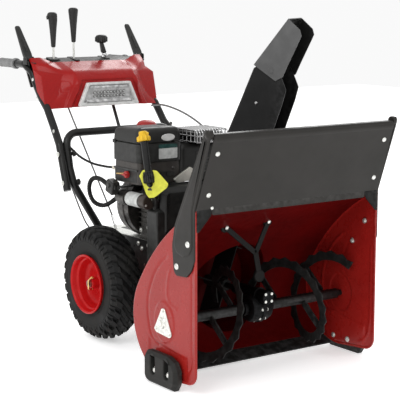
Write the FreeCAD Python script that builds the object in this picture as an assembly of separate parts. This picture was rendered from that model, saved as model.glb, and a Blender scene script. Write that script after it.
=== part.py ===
"""Two-stage walk-behind snow blower, modelled piece by piece at full size in millimetres.

Design frame: X = 0 is the machine's centre plane and Y = 0 is the wheel axle, with the ground at
Z = 0. The auger housing opens towards -Y and the operator walks behind at +Y. The operator's
right hand is on the -X side, so "right" names the -X side. At the end every piece is moved along
Y, so that the origin lies under the middle of the whole machine.
"""
import FreeCAD, Part
import math
import os

Vec = FreeCAD.Vector
X_AXIS = Vec(1, 0, 0)
Y_AXIS = Vec(0, 1, 0)
Z_AXIS = Vec(0, 0, 1)
SIDES = (-1, 1)

# ---------------------------------------------------------------- driving dimensions
FIT = 0.05                    # radial clearance of a shaft in its bearing
GAP = 0.5                     # clearance between pieces that pass each other
SHEET = 3.0                   # thickness of the pressed steel

# auger housing
HALF_WIDTH = 360.0            # centre plane to the outer face of a side plate
AUGER_Y = -585.0
AUGER_Z = 195.0
BARREL_R = 178.0              # rear wall about the auger axle
HOOD_R = 720.0                # shallow curve from the barrel up to the front edge
HOOD_START = 32.0             # degrees about the auger axle where the hood begins
BARREL_END = -62.0            # degrees where the barrel meets the scraper bar
MOUTH_Y = -758.0              # front edge of the housing
MOUTH_TOP = 568.0
MOUTH_LOW = 28.0
CORNER_R = 42.0

# auger and its gear case
AUGER_R = 150.0
RIBBON_R = 116.0
SHAFT_R = 10.0
TUBE_R = 17.0
WORM_RISE = 42.0              # impeller shaft above the auger axle
IMPELLER_Z = AUGER_Z + WORM_RISE
IMPELLER_R = 145.0
DRUM_R = 155.0
DRUM_BACK = -300.0

# chute: it turns on a vertical axis and points half left when stored
CHUTE_Y = -380.0
RING_Z = 425.0
FLANGE = 12.0                 # thickness of the flange that the chute turns on
CHUTE_TURN = 35.0             # degrees from straight ahead, towards +X
CHUTE_HALF = 75.0
HINGE_OUT = 200.0             # deflector hinge, out from the chute's axis
HINGE_Z = 955.0

# tractor
TYRE_R = 200.0
AXLE_Z = TYRE_R
AXLE_R = 12.7
WHEEL_X = 228.0
TYRE_HALF = 60.0
RIM_R = 98.0
FRAME_HALF = 110.0
FRAME_TOP = 350.0
FRAME_FRONT = -215.0
FRAME_REAR = 200.0

# engine
CRANK_X = -45.0
CRANK_Z = 465.0
DECK_Z = FRAME_TOP + SHEET
BOX_FRONT = -205.0            # front face of the carburettor box and shroud
BOX_SIDE = -198.0
CHOKE_Y = -130.0
CHOKE_Z = 592.0
FAN_R = 108.0
FAN_FRONT = -60.0

# handles and console
TUBE = 14.0                   # radius of the handle tube
LEG_X = 225.0
GRIP_X = 241.0
GRIP_Z = 935.0
LEVER_Y = 488.0
LEVER_Z = 956.0
DASH_HALF = 244.0
STICK_Y = 480.0
STICK_PIVOT_Z = 905.0


# ---------------------------------------------------------------- small helpers
def box(x0, x1, y0, y1, z0, z1):
    """A box between two corners."""
    return Part.makeBox(x1 - x0, y1 - y0, z1 - z0, Vec(x0, y0, z0))


def rod(start, end, radius):
    """A round bar between two points."""
    start = Vec(*start)
    along = Vec(*end) - start
    return Part.makeCylinder(radius, along.Length, start, along)


def ring(start, end, outer, inner):
    """A tube between two points."""
    return rod(start, end, outer).cut(rod(start, end, inner))


def fuse(shapes):
    """One solid from several that touch or overlap."""
    first = shapes[0]
    if len(shapes) == 1:
        return first
    return first.multiFuse(shapes[1:]).removeSplitter()


def cut(shape, tools):
    """The shape with each tool taken away."""
    for tool in tools:
        shape = shape.cut(tool)
    return shape


def closed_face(points):
    """A flat face through the points in order."""
    corners = [Vec(*p) for p in points]
    return Part.Face(Part.makePolygon(corners + corners[:1]))


def side_profile(outline, x0, x1):
    """A (y, z) outline pulled from x0 to x1."""
    return closed_face([(x0, y, z) for y, z in outline]).extrude(Vec(x1 - x0, 0, 0))


def front_profile(outline, y0, y1):
    """An (x, z) outline pulled from y0 to y1."""
    return closed_face([(x, y0, z) for x, z in outline]).extrude(Vec(0, y1 - y0, 0))


def turned(outline, centre, axis):
    """An outline of (along, radius) pairs turned about an axis through the centre."""
    centre = Vec(*centre)
    if axis == X_AXIS:
        points = [centre + Vec(a, 0, r) for a, r in outline]
    elif axis == Y_AXIS:
        points = [centre + Vec(0, a, r) for a, r in outline]
    else:
        points = [centre + Vec(r, 0, a) for a, r in outline]
    face = Part.Face(Part.makePolygon(points + points[:1]))
    return face.revolve(centre, axis, 360)


def on_circle(centre_y, centre_z, radius, degrees):
    """A point in the side view; 0 degrees is towards the rear and 90 is up."""
    angle = math.radians(degrees)
    return centre_y + radius * math.cos(angle), centre_z + radius * math.sin(angle)


def bent_path(points, radius):
    """Straight runs joined by tangent arcs of one radius, as a wire."""
    points = [Vec(*p) for p in points]
    edges = []
    last = points[0]
    for before, corner, after in zip(points, points[1:], points[2:]):
        back = (before - corner).normalize()
        ahead = (after - corner).normalize()
        half_turn = (math.pi - back.getAngle(ahead)) / 2
        trim = radius * math.tan(half_turn)
        start = corner + back * trim
        end = corner + ahead * trim
        inward = (back + ahead).normalize()
        middle = corner + inward * (radius / math.cos(half_turn) - radius)
        edges.append(Part.LineSegment(last, start).toShape())
        edges.append(Part.Arc(start, middle, end).toShape())
        last = end
    edges.append(Part.LineSegment(last, points[-1]).toShape())
    return Part.Wire(edges)


def bent_rod(points, bend, radius):
    """A round bar that follows a bent path."""
    path = bent_path(points, bend)
    along = Vec(*points[1]) - Vec(*points[0])
    section = Part.Wire(Part.makeCircle(radius, Vec(*points[0]), along))
    return path.makePipeShell([section], True, False)


def bolt(head_at, axis, shank, head_r, shank_r):
    """A hexagon bolt: its head starts at a face and stands out along the axis."""
    head_at = Vec(*head_at)
    head = Part.makeCylinder(head_r, shank_r * 1.2, head_at, axis)
    body = Part.makeCylinder(shank_r, shank, head_at - axis * shank, axis)
    return head.fuse(body)


def facets(triangles):
    """A closed solid from flat triangles."""
    faces = [closed_face(t) for t in triangles]
    shell = Part.Shell(faces)
    shell.sewShape()
    solid = Part.Solid(shell)
    if solid.Volume < 0:
        solid.reverse()
    return solid


# ---------------------------------------------------------------- auger housing
def hood_centre():
    """Centre of the hood's curve, on the line where it leaves the barrel."""
    return on_circle(AUGER_Y, AUGER_Z, BARREL_R - HOOD_R, HOOD_START)


def hood_end_angle():
    """Angle on the hood's curve where it reaches the mouth."""
    centre_y, centre_z = hood_centre()
    return math.degrees(math.acos((MOUTH_Y - centre_y) / HOOD_R))


def arc_edge(centre, radius, first, last, x):
    """A circular edge in the side view, between two angles."""
    middle = (first + last) / 2
    stops = [on_circle(centre[0], centre[1], radius, a) for a in (first, middle, last)]
    return Part.Arc(*[Vec(x, y, z) for y, z in stops]).toShape()


def line_edge(start, end, x):
    """A straight edge in the side view."""
    return Part.LineSegment(Vec(x, *start), Vec(x, *end)).toShape()


def auger_housing():
    """Curved rear wall and hood, with the round hole that leads to the impeller."""
    centre = hood_centre()
    end = hood_end_angle()
    inner = BARREL_R - SHEET
    x = -HALF_WIDTH + SHEET
    auger = (AUGER_Y, AUGER_Z)
    edges = [
        arc_edge(auger, BARREL_R, BARREL_END, HOOD_START, x),
        arc_edge(centre, HOOD_R, HOOD_START, end, x),
        line_edge(on_circle(*centre, HOOD_R, end), on_circle(*centre, HOOD_R - SHEET, end), x),
        arc_edge(centre, HOOD_R - SHEET, end, HOOD_START, x),
        arc_edge(auger, inner, HOOD_START, BARREL_END, x),
        line_edge(on_circle(*auger, inner, BARREL_END), on_circle(*auger, BARREL_R, BARREL_END), x),
    ]
    sheet = Part.Face(Part.Wire(edges)).extrude(Vec(2 * (HALF_WIDTH - SHEET), 0, 0))
    throat = rod((0, -560, IMPELLER_Z), (0, DRUM_BACK, IMPELLER_Z), DRUM_R - SHEET)
    ahead = box(-HALF_WIDTH, HALF_WIDTH, MOUTH_Y - 20, MOUTH_Y, MOUTH_TOP - 40, MOUTH_TOP + 20)
    return cut(sheet, [throat, ahead])


def plate_outline(x):
    """Outline of a side plate."""
    centre = hood_centre()
    end = hood_end_angle()
    low_front = (MOUTH_Y + CORNER_R, MOUTH_LOW)
    corner = (MOUTH_Y + CORNER_R, MOUTH_LOW + CORNER_R)
    edges = [
        arc_edge((AUGER_Y, AUGER_Z), BARREL_R, -90, HOOD_START, x),
        arc_edge(centre, HOOD_R, HOOD_START, end, x),
        line_edge(on_circle(*centre, HOOD_R, end), (MOUTH_Y, MOUTH_LOW + CORNER_R), x),
        arc_edge(corner, CORNER_R, 180, 270, x),
        line_edge(low_front, (AUGER_Y, AUGER_Z - BARREL_R), x),
    ]
    return Part.Face(Part.Wire(edges))


def side_plate(side, holes):
    """Flat side of the housing with a turned-in front edge and a bore for the auger axle."""
    inner = side * (HALF_WIDTH - SHEET)
    plate = plate_outline(inner).extrude(Vec(side * SHEET, 0, 0))
    lip_in = side * (HALF_WIDTH - 18)
    lip = box(min(lip_in, inner), max(lip_in, inner), MOUTH_Y, MOUTH_Y + SHEET,
              MOUTH_LOW + CORNER_R, MOUTH_TOP - 40)
    axle_hole = rod((side * 330, AUGER_Y, AUGER_Z), (side * 380, AUGER_Y, AUGER_Z), 16)
    return cut(fuse([plate, lip]), [axle_hole] + holes)


def impeller_drum():
    """Round drum behind the auger, with the flanged chute outlet on top and the shaft's bearing."""
    front = -560
    drum = rod((0, front, IMPELLER_Z), (0, DRUM_BACK, IMPELLER_Z), DRUM_R)
    outlet = rod((0, CHUTE_Y, IMPELLER_Z), (0, CHUTE_Y, RING_Z), 78)
    bearing = rod((0, DRUM_BACK, IMPELLER_Z), (0, DRUM_BACK + 22, IMPELLER_Z), 26)
    inside = rod((0, front - 1, IMPELLER_Z), (0, DRUM_BACK - SHEET, IMPELLER_Z), DRUM_R - SHEET)
    bore = rod((0, CHUTE_Y, IMPELLER_Z), (0, CHUTE_Y, RING_Z + FLANGE + 1), 75)
    shaft = rod((0, front, IMPELLER_Z), (0, DRUM_BACK + 30, IMPELLER_Z), SHAFT_R + FIT)
    flange = rod((0, CHUTE_Y, RING_Z), (0, CHUTE_Y, RING_Z + FLANGE), 104)
    body = cut(fuse([drum, outlet, bearing, flange]), [inside, bore, shaft])
    centre = hood_centre()
    x = -HALF_WIDTH
    far = MOUTH_Y - 100
    low = AUGER_Z - BARREL_R
    edges = [
        arc_edge((AUGER_Y, AUGER_Z), BARREL_R, -90, HOOD_START, x),
        arc_edge(centre, HOOD_R, HOOD_START, hood_end_angle(), x),
        line_edge(on_circle(*centre, HOOD_R, hood_end_angle()), (far, MOUTH_TOP), x),
        line_edge((far, MOUTH_TOP), (far, low), x),
        line_edge((far, low), (AUGER_Y, low), x),
    ]
    ahead = Part.Face(Part.Wire(edges)).extrude(Vec(2 * HALF_WIDTH, 0, 0))
    return body.cut(ahead)


def scraper_bar():
    """Replaceable steel bar under the rear wall, on the slope of the barrel's end."""
    start = on_circle(AUGER_Y, AUGER_Z, BARREL_R, BARREL_END)
    slope = math.radians(BARREL_END - 90)
    along = (math.cos(slope), math.sin(slope))
    down = (along[1], -along[0])
    length = 50
    thick = 6
    far = (start[0] + length * along[0], start[1] + length * along[1])
    outline = [start, far, (far[0] - thick * down[0], far[1] - thick * down[1]),
               (start[0] - thick * down[0], start[1] - thick * down[1])]
    half = HALF_WIDTH - SHEET
    return side_profile(outline, -half, half)


def bearing_plate(side):
    """Triangular zinc plate that carries the auger axle in the side plate."""
    corners = [(AUGER_Y - 4, AUGER_Z + 52), (AUGER_Y + 42, AUGER_Z - 32), (AUGER_Y - 50, AUGER_Z - 36)]
    face = side * HALF_WIDTH
    plate = side_profile(corners, face, face + side * 3)
    corner_edges = [e for e in plate.Edges if abs(e.BoundBox.XLength - 3) < 0.01]
    plate = plate.makeFillet(12, corner_edges)
    boss = rod((face - side * 12, AUGER_Y, AUGER_Z), (face + side * 8, AUGER_Y, AUGER_Z), 15.5)
    bore = rod((face - side * 20, AUGER_Y, AUGER_Z), (face + side * 20, AUGER_Y, AUGER_Z), SHAFT_R + FIT)
    return fuse([plate, boss]).cut(bore)


def skid_bolt_points():
    """Centres of the two bolts that hold each skid shoe."""
    return [(-568, 43.5), (-642, 43.5)]


def skid_bolts(side):
    """Carriage bolts through the side plate, each with a washer in the shoe's slot."""
    made = []
    for y, z in skid_bolt_points():
        shank = rod((side * 350, y, z), (side * 388, y, z), 5)
        head = rod((side * 350, y, z), (side * 354, y, z), 10)
        nut = rod((side * 378.5, y, z), (side * 386, y, z), 8.5)
        made.append(fuse([shank, head, nut]))
    return made


def arm_bolt_points():
    """Centres of the bolts that hold each side arm to its side plate."""
    return [(-727, 463), (-665, 386)]


def arm_bolts(side):
    """Bolts through a side arm and the side plate."""
    out = Vec(side, 0, 0)
    return [bolt((side * 368, y, z), out, 14, 9, 4) for y, z in arm_bolt_points()]


PANEL_LEAN = math.atan2(79, 222)
PANEL_SHEET = 2.0


def on_panel(x, up):
    """A point on the panel's front face, given its height above the housing's front edge."""
    return Vec(x, MOUTH_Y - PANEL_SHEET - up * math.sin(PANEL_LEAN), MOUTH_TOP + up * math.cos(PANEL_LEAN))


def panel_normal():
    """Direction out of the panel's front face."""
    return Vec(0, -math.cos(PANEL_LEAN), -math.sin(PANEL_LEAN))


def panel_bolts():
    """Round-headed bolts along the panel's two ends."""
    made = []
    for side in SIDES:
        for up in (48, 182):
            made.append(bolt(tuple(on_panel(side * 326, up)), panel_normal(), 10, 8, 4))
    return made


def side_arm(side, holes):
    """Pressed bracket on a side plate that stands up and holds the end of the panel."""
    outline = [(-834, 811), (-812, 811), (-799, 784), (-655, 514), (-640, 448), (-649, 370), (-661, 358),
               (-716, 361), (-742, 385), (-757, 415), (-757, 568), (-833, 783), (-838, 803)]
    face = side * HALF_WIDTH
    arm = side_profile(outline, face, face + side * 8)
    pocket_outline = [(-815, 790), (-800, 775), (-661, 512), (-646, 448), (-655, 374), (-716, 367),
                      (-738, 390), (-751, 417), (-751, 569), (-826, 782)]
    pocket = side_profile(pocket_outline, face - side, face + side * 5)
    bosses = [rod((face, y, z), (face + side * 5, y, z), 12) for y, z in arm_bolt_points()]
    return cut(fuse([arm.cut(pocket)] + bosses), holes)


def front_panel(holes):
    """Leaning steel panel above the mouth, with a folded top edge."""
    height = 236.0
    low = -19.0
    top = on_panel(0, height)
    back = PANEL_SHEET * math.sin(PANEL_LEAN), PANEL_SHEET * math.cos(PANEL_LEAN)
    outline = [(MOUTH_Y - PANEL_SHEET, MOUTH_TOP + low), (MOUTH_Y - PANEL_SHEET, MOUTH_TOP),
               (top.y, top.z), (top.y + 6, top.z + 9), (top.y + 32, top.z + 9),
               (top.y + 32, top.z + 7), (top.y + 8, top.z + 7),
               (top.y + back[1], top.z - back[0]), (MOUTH_Y, MOUTH_TOP), (MOUTH_Y, MOUTH_TOP + low)]
    sheet = side_profile(outline, -HALF_WIDTH, HALF_WIDTH)
    cuts = []
    for side in SIDES:
        notch = box(min(side * 302, side * 400), max(side * 302, side * 400), -800, -700, 500, MOUTH_TOP)
        slope = front_profile([(side * HALF_WIDTH, MOUTH_TOP), (side * 400, MOUTH_TOP),
                               (side * 400, 830), (side * 351, 830)], -900, -700)
        cuts += [notch, slope]
    return cut(sheet, cuts + holes)


def flat_bar(start, end, width, thick):
    """A flat bar between two points of one y, with its flat sides towards front and rear."""
    start = Vec(*start)
    along = Vec(*end) - start
    across = Y_AXIS.cross(along).normalize() * (width / 2)
    face = closed_face([tuple(start - across), tuple(start + across),
                        tuple(start + across + along), tuple(start - across + along)])
    return face.extrude(Vec(0, thick, 0))


def gear_case_brace():
    """Forked flat bar that steadies the gear case from the hood."""
    y = -578
    stem = flat_bar((0, y, IMPELLER_Z + 22.5), (0, y, 372), 16, 4)
    forks = [flat_bar((0, y, 366), (side * 92, y, 448), 14, 4) for side in SIDES]
    return fuse([stem] + forks).cut(hood_space())


def hood_space():
    """Everything outside the hood's inner face, for trimming pieces that end on it."""
    centre_y, centre_z = hood_centre()
    outside = box(-200, 200, -900, 0, 300, 900)
    inside = rod((-201, centre_y, centre_z), (201, centre_y, centre_z), HOOD_R - SHEET)
    return outside.cut(inside)


def gear_case():
    """Cast case around the worm and worm wheel, in the middle of the auger."""
    drum = rod((-42, AUGER_Y, AUGER_Z), (42, AUGER_Y, AUGER_Z), 46)
    hubs = rod((-56, AUGER_Y, AUGER_Z), (56, AUGER_Y, AUGER_Z), 20)
    worm_tube = rod((0, -650, IMPELLER_Z), (0, -490, IMPELLER_Z), 22)
    neck = rod((0, -490, IMPELLER_Z), (0, -470, IMPELLER_Z), 17)
    body = fuse([drum, hubs, worm_tube, neck])
    hollow = rod((-36, AUGER_Y, AUGER_Z), (36, AUGER_Y, AUGER_Z), 40)
    worm_space = rod((0, -644, IMPELLER_Z), (0, -500, IMPELLER_Z), 16)
    axle = rod((-60, AUGER_Y, AUGER_Z), (60, AUGER_Y, AUGER_Z), SHAFT_R + FIT)
    shaft = rod((0, -640, IMPELLER_Z), (0, -460, IMPELLER_Z), SHAFT_R + FIT)
    return cut(body, [hollow, worm_space, axle, shaft])


# ---------------------------------------------------------------- auger, impeller and pulleys
def auger_shaft():
    """Axle through both bearing plates, with the tube that carries each flight."""
    axle = rod((-371, AUGER_Y, AUGER_Z), (371, AUGER_Y, AUGER_Z), SHAFT_R)
    tubes = [rod((side * 60, AUGER_Y, AUGER_Z), (side * 340, AUGER_Y, AUGER_Z), TUBE_R) for side in SIDES]
    return fuse([axle] + tubes)


def ribbon(side):
    """Serrated steel ribbon that winds along one half of the auger."""
    turns = 1.35
    teeth = 27
    steps = teeth * 2
    start_x, end_x = 66.0, 334.0
    tooth = 9.0
    thick = 4.0
    sections = []
    for step in range(steps + 1):
        share = step / steps
        angle = 2 * math.pi * turns * share
        x = start_x + (end_x - start_x) * share
        outer = AUGER_R - (tooth if step % 2 else 0)
        corner = []
        for radius, along in ((RIBBON_R, 0), (outer, 0), (outer, thick), (RIBBON_R, thick)):
            corner.append((side * (x + along), AUGER_Y + radius * math.cos(angle),
                           AUGER_Z + radius * math.sin(angle)))
        sections.append(corner)
    triangles = [[sections[0][0], sections[0][1], sections[0][2]],
                 [sections[0][0], sections[0][2], sections[0][3]],
                 [sections[-1][0], sections[-1][1], sections[-1][2]],
                 [sections[-1][0], sections[-1][2], sections[-1][3]]]
    for here, there in zip(sections, sections[1:]):
        for i in range(4):
            j = (i + 1) % 4
            triangles.append([here[i], here[j], there[j]])
            triangles.append([here[i], there[j], there[i]])
    return facets(triangles)


def ribbon_arms(side):
    """Flat arms from the auger tube out to the ribbon."""
    turns = 1.35
    start_x, end_x = 66.0, 334.0
    arms = []
    for share in (0.08, 0.45, 0.82):
        angle = 2 * math.pi * turns * share
        x = side * (start_x + (end_x - start_x) * share + 2)
        out = Vec(0, math.cos(angle), math.sin(angle))
        centre = Vec(x, AUGER_Y, AUGER_Z)
        arm = Part.makeBox(5, 24, RIBBON_R - TUBE_R - 1.5)
        arm.translate(Vec(-2.5, -12, TUBE_R + 0.2))
        arm.rotate(Vec(0, 0, 0), X_AXIS, math.degrees(angle) - 90)
        arm.translate(centre)
        arms.append(arm.cut(rod((x - 10, AUGER_Y, AUGER_Z), (x + 10, AUGER_Y, AUGER_Z), TUBE_R)))
    return arms


def worm_wheel():
    """Bronze wheel on the auger axle, driven by the worm above it."""
    wheel = rod((-14, AUGER_Y, AUGER_Z), (14, AUGER_Y, AUGER_Z), 30)
    notches = []
    for tooth in range(20):
        notch = box(-20, 20, AUGER_Y - 2, AUGER_Y + 2, AUGER_Z + 25.5, AUGER_Z + 35)
        notch.rotate(Vec(0, AUGER_Y, AUGER_Z), X_AXIS, tooth * 18)
        notches.append(notch)
    bore = rod((-20, AUGER_Y, AUGER_Z), (20, AUGER_Y, AUGER_Z), SHAFT_R)
    return cut(wheel, notches + [bore])


def impeller():
    """Hub with four paddles that throw the snow up the chute."""
    hub = rod((0, -424, IMPELLER_Z), (0, -318, IMPELLER_Z), 19)
    pieces = [hub]
    for quarter in range(4):
        paddle = box(-2, 2, -420, -322, IMPELLER_Z + 15, IMPELLER_Z + IMPELLER_R - 3)
        tip = box(-2, 22, -420, -322, IMPELLER_Z + IMPELLER_R - 16, IMPELLER_Z + IMPELLER_R - 12)
        blade = fuse([paddle, tip])
        blade.rotate(Vec(0, 0, IMPELLER_Z), Y_AXIS, 90 * quarter + 20)
        pieces.append(blade)
    bore = rod((0, -430, IMPELLER_Z), (0, -310, IMPELLER_Z), SHAFT_R)
    return fuse(pieces).cut(bore)


def impeller_shaft():
    """Shaft from the worm in the gear case back to the auger pulley."""
    shaft = rod((0, -630, IMPELLER_Z), (0, -236, IMPELLER_Z), SHAFT_R)
    worm = rod((0, -607, IMPELLER_Z), (0, -563, IMPELLER_Z), 11.4)
    grooves = [turned([(y - 2, 12), (y + 2, 12), (y + 1, 10.2), (y - 1, 10.2)], (0, 0, IMPELLER_Z), Y_AXIS)
               for y in range(-602, -564, 6)]
    return cut(fuse([shaft, worm]), grooves)


PULLEY_HALF = 9.0
GROOVE = 9.0
AUGER_BELT_Y = -247.0
TRACTION_BELT_Y = -226.5
AUGER_PULLEY_R = 98.0
CRANK_PULLEY_R = 38.0
TRACTION_CRANK_R = 30.0
TRACTION_PULLEY_R = 62.0
PLATE_X = -8.0
PLATE_Z = 262.0


def pulley(x, y, z, radius, half, bore):
    """A belt pulley with a V groove."""
    outline = [(-half, bore), (half, bore), (half, radius), (half - 2, radius), (3, radius - GROOVE),
               (-3, radius - GROOVE), (-half + 2, radius), (-half, radius)]
    return turned(outline, (x, y, z), Y_AXIS)


def auger_pulley():
    """Large pulley on the rear end of the impeller shaft."""
    return pulley(0, AUGER_BELT_Y, IMPELLER_Z, AUGER_PULLEY_R, PULLEY_HALF, SHAFT_R)


def crankshaft():
    """Front end of the engine's crankshaft with its two drive pulleys."""
    shaft = rod((CRANK_X, -130, CRANK_Z), (CRANK_X, -258, CRANK_Z), 9)
    front = pulley(CRANK_X, AUGER_BELT_Y, CRANK_Z, CRANK_PULLEY_R, PULLEY_HALF, 8.9)
    rear = pulley(CRANK_X, TRACTION_BELT_Y, CRANK_Z, TRACTION_CRANK_R, PULLEY_HALF, 8.9)
    return fuse([shaft, front, rear])


def band(first, second, across, half, thick):
    """A closed band round two wheels, each given as (centre, radius), whose axles lie across it."""
    (c1, r1), (c2, r2) = first, second
    c1, c2 = Vec(*c1), Vec(*c2)
    ahead = (c2 - c1).normalize()
    aside = across.cross(ahead)
    spread = math.acos((r1 - r2) / (c2 - c1).Length)

    def loop(extra):
        """Solid inside the band's face at a distance outside the wheels."""
        def point(centre, radius, angle):
            reach = ahead * math.cos(angle) + aside * math.sin(angle)
            return centre + reach * (radius + extra) - across * half
        a1, b1, far1 = (point(c1, r1, a) for a in (spread, -spread, math.pi))
        a2, b2, far2 = (point(c2, r2, a) for a in (spread, -spread, 0))
        edges = [Part.Arc(b1, far1, a1).toShape(), Part.LineSegment(a1, a2).toShape(),
                 Part.Arc(a2, far2, b2).toShape(), Part.LineSegment(b2, b1).toShape()]
        return Part.Face(Part.Wire(edges)).extrude(across * (2 * half))

    return loop(thick).cut(loop(0))


def drive_belts():
    """Auger belt and traction belt, each just clear of the grooves it runs in."""
    seat = GROOVE - 2.8
    auger = band(((0, AUGER_BELT_Y, IMPELLER_Z), AUGER_PULLEY_R - seat),
                 ((CRANK_X, AUGER_BELT_Y, CRANK_Z), CRANK_PULLEY_R - seat), Y_AXIS, 3.0, 8.5)
    traction = band(((PLATE_X, TRACTION_BELT_Y, PLATE_Z), TRACTION_PULLEY_R - seat),
                    ((CRANK_X, TRACTION_BELT_Y, CRANK_Z), TRACTION_CRANK_R - seat), Y_AXIS, 3.0, 8.5)
    return [auger, traction]


def friction_plate():
    """Traction pulley, its short shaft through the frame's front wall, and the drive disc."""
    wheel = pulley(PLATE_X, TRACTION_BELT_Y, PLATE_Z, TRACTION_PULLEY_R, 8, 7.9)
    shaft = rod((PLATE_X, -234, PLATE_Z), (PLATE_X, -150, PLATE_Z), 8)
    disc = rod((PLATE_X, -156, PLATE_Z), (PLATE_X, -148, PLATE_Z), 70)
    return fuse([wheel, shaft, disc])


FRICTION_SHAFT_Y = -90.0
FRICTION_SHAFT_Z = 262.0
CHAIN_X = 62.0


def sprocket(x, y, z, radius, teeth, bore):
    """A thin toothed wheel for the drive chain."""
    disc = rod((x - 3, y, z), (x + 3, y, z), radius)
    gaps = []
    for tooth in range(teeth):
        gap = rod((x - 4, y, z + radius), (x + 4, y, z + radius), 3.2)
        gap.rotate(Vec(x, y, z), X_AXIS, tooth * 360 / teeth)
        gaps.append(gap)
    hole = rod((x - 5, y, z), (x + 5, y, z), bore)
    return cut(disc, gaps + [hole])


def friction_wheel():
    """Rubber-edged wheel on its hexagon shaft, with the small chain sprocket."""
    y, z = FRICTION_SHAFT_Y, FRICTION_SHAFT_Z
    hexagon = [(-104, y + 8 * math.cos(a), z + 8 * math.sin(a)) for a in
               [math.radians(60 * i) for i in range(6)]]
    shaft = closed_face(hexagon).extrude(Vec(208, 0, 0))
    stubs = rod((-109.5, y, z), (109.5, y, z), 6)
    wheel = rod((30, y, z), (38, y, z), 56)
    small = sprocket(CHAIN_X, y, z, 20, 9, 5)
    return fuse([shaft, stubs, wheel, small])


def axle():
    """Wheel axle with the large chain sprocket in the middle of the frame."""
    shaft = rod((-284, 0, AXLE_Z), (284, 0, AXLE_Z), AXLE_R)
    big = sprocket(CHAIN_X, 0, AXLE_Z, 62, 28, 12)
    return fuse([shaft, big])


def drive_chain():
    """Chain from the friction wheel's shaft to the axle, as one closed loop."""
    return band(((CHAIN_X, 0, AXLE_Z), 62.6),
                ((CHAIN_X, FRICTION_SHAFT_Y, FRICTION_SHAFT_Z), 20.6), X_AXIS, 4.0, 5.0)


# ---------------------------------------------------------------- skid shoes
def skid_shoe(side):
    """Thick plastic shoe with two stepped slots, shown at the top of its adjustment."""
    outline = [(-515, 14), (-505, 30), (-505, 88), (-520, 108), (-640, 108), (-672, 100), (-692, 70),
               (-692, 22), (-675, 0), (-530, 0)]
    body = side_profile(outline, side * 364, side * 392)
    cuts = []
    for y, z in skid_bolt_points():
        for r, x0, x1 in ((6, 360, 380), (10, 378, 396)):
            low, high = z, z + 38.5
            cuts.append(rod((side * x0, y, low), (side * x1, y, low), r))
            cuts.append(rod((side * x0, y, high), (side * x1, y, high), r))
            cuts.append(box(min(side * x0, side * x1), max(side * x0, side * x1), y - r, y + r, low, high))
    return cut(body, cuts)


# ---------------------------------------------------------------- tractor frame and wheels
def tractor_frame(fittings):
    """Welded steel box that joins the drum, carries the engine deck and holds the axle."""
    half = FRAME_HALF
    side_outline = [(FRAME_FRONT, FRAME_TOP), (FRAME_FRONT, 150), (60, 150), (FRAME_REAR, 290),
                    (FRAME_REAR, FRAME_TOP)]
    parts = [box(-half, half, FRAME_FRONT, FRAME_FRONT + SHEET, 150, FRAME_TOP),
             box(-half, half, FRAME_REAR - SHEET, FRAME_REAR, 290, FRAME_TOP),
             box(-118, 118, FRAME_FRONT, FRAME_REAR, FRAME_TOP, DECK_Z)]
    for side in SIDES:
        inner = side * (half - SHEET)
        parts.append(side_profile(side_outline, inner, side * half))
        parts.append(rod((inner, 0, AXLE_Z), (side * 121, 0, AXLE_Z), 24))
        strut_x = sorted((side * 104, side * 118))
        parts.append(box(*strut_x, DRUM_BACK, FRAME_FRONT + SHEET, 200, 230))
    frame = fuse(parts)
    drum = rod((0, -400, IMPELLER_Z), (0, DRUM_BACK, IMPELLER_Z), DRUM_R)
    axle_bore = rod((-130, 0, AXLE_Z), (130, 0, AXLE_Z), AXLE_R + FIT)
    y, z = FRICTION_SHAFT_Y, FRICTION_SHAFT_Z
    cross_bore = rod((-130, y, z), (130, y, z), 6 + FIT)
    plate_bore = rod((PLATE_X, -230, PLATE_Z), (PLATE_X, -200, PLATE_Z), 8 + FIT)
    return cut(frame, [drum, axle_bore, cross_bore, plate_bore] + fittings)


def rim_barrel(side):
    """Rolled ring that the tyre sits on, with a lip at each end."""
    outline = [(169, 95), (289, 95), (297, 101), (294, 104), (287, RIM_R), (171, RIM_R), (166, 104), (163, 101)]
    return turned([(side * x, r) for x, r in outline], (0, 0, AXLE_Z), X_AXIS)


def rim_disc(side):
    """Pressed disc with its hub, fixed inside the barrel."""
    edge = 95 - FIT
    outline = [(246, edge), (246, 72), (256, 58), (246, 40), (246, 24), (135, 24), (135, AXLE_R), (277, AXLE_R),
               (277, 24), (250, 26), (250, 38), (260, 58), (250, 74), (250, edge)]
    return turned([(side * x, r) for x, r in outline], (0, 0, AXLE_Z), X_AXIS)


def tyre(side):
    """Snow tyre with a rounded, crowned tread."""
    half = TYRE_HALF
    outline = [(-half + 8, RIM_R), (-half + 2, 118), (-half, 150), (-half + 6, 172), (-half + 18, 188),
               (-24, 196), (0, TYRE_R), (24, 196), (half - 18, 188), (half - 6, 172), (half, 150),
               (half - 2, 118), (half - 8, RIM_R), (half - 12, 112), (half - 12, 150), (half - 24, 172),
               (0, 184), (-half + 24, 172), (-half + 12, 150), (-half + 12, 112)]
    centre = side * WHEEL_X
    body = turned(outline, (centre, 0, AXLE_Z), X_AXIS)
    return body


# ---------------------------------------------------------------- chute
def chute_frame(shape):
    """Turn a shape modelled as pointing straight ahead to the stored direction."""
    moved = shape.copy()
    moved.rotate(Vec(0, CHUTE_Y, 0), Z_AXIS, CHUTE_TURN)
    return moved


def out(distance):
    """Y of a point at a distance ahead of the chute's axis, before the chute is turned."""
    return CHUTE_Y - distance


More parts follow.
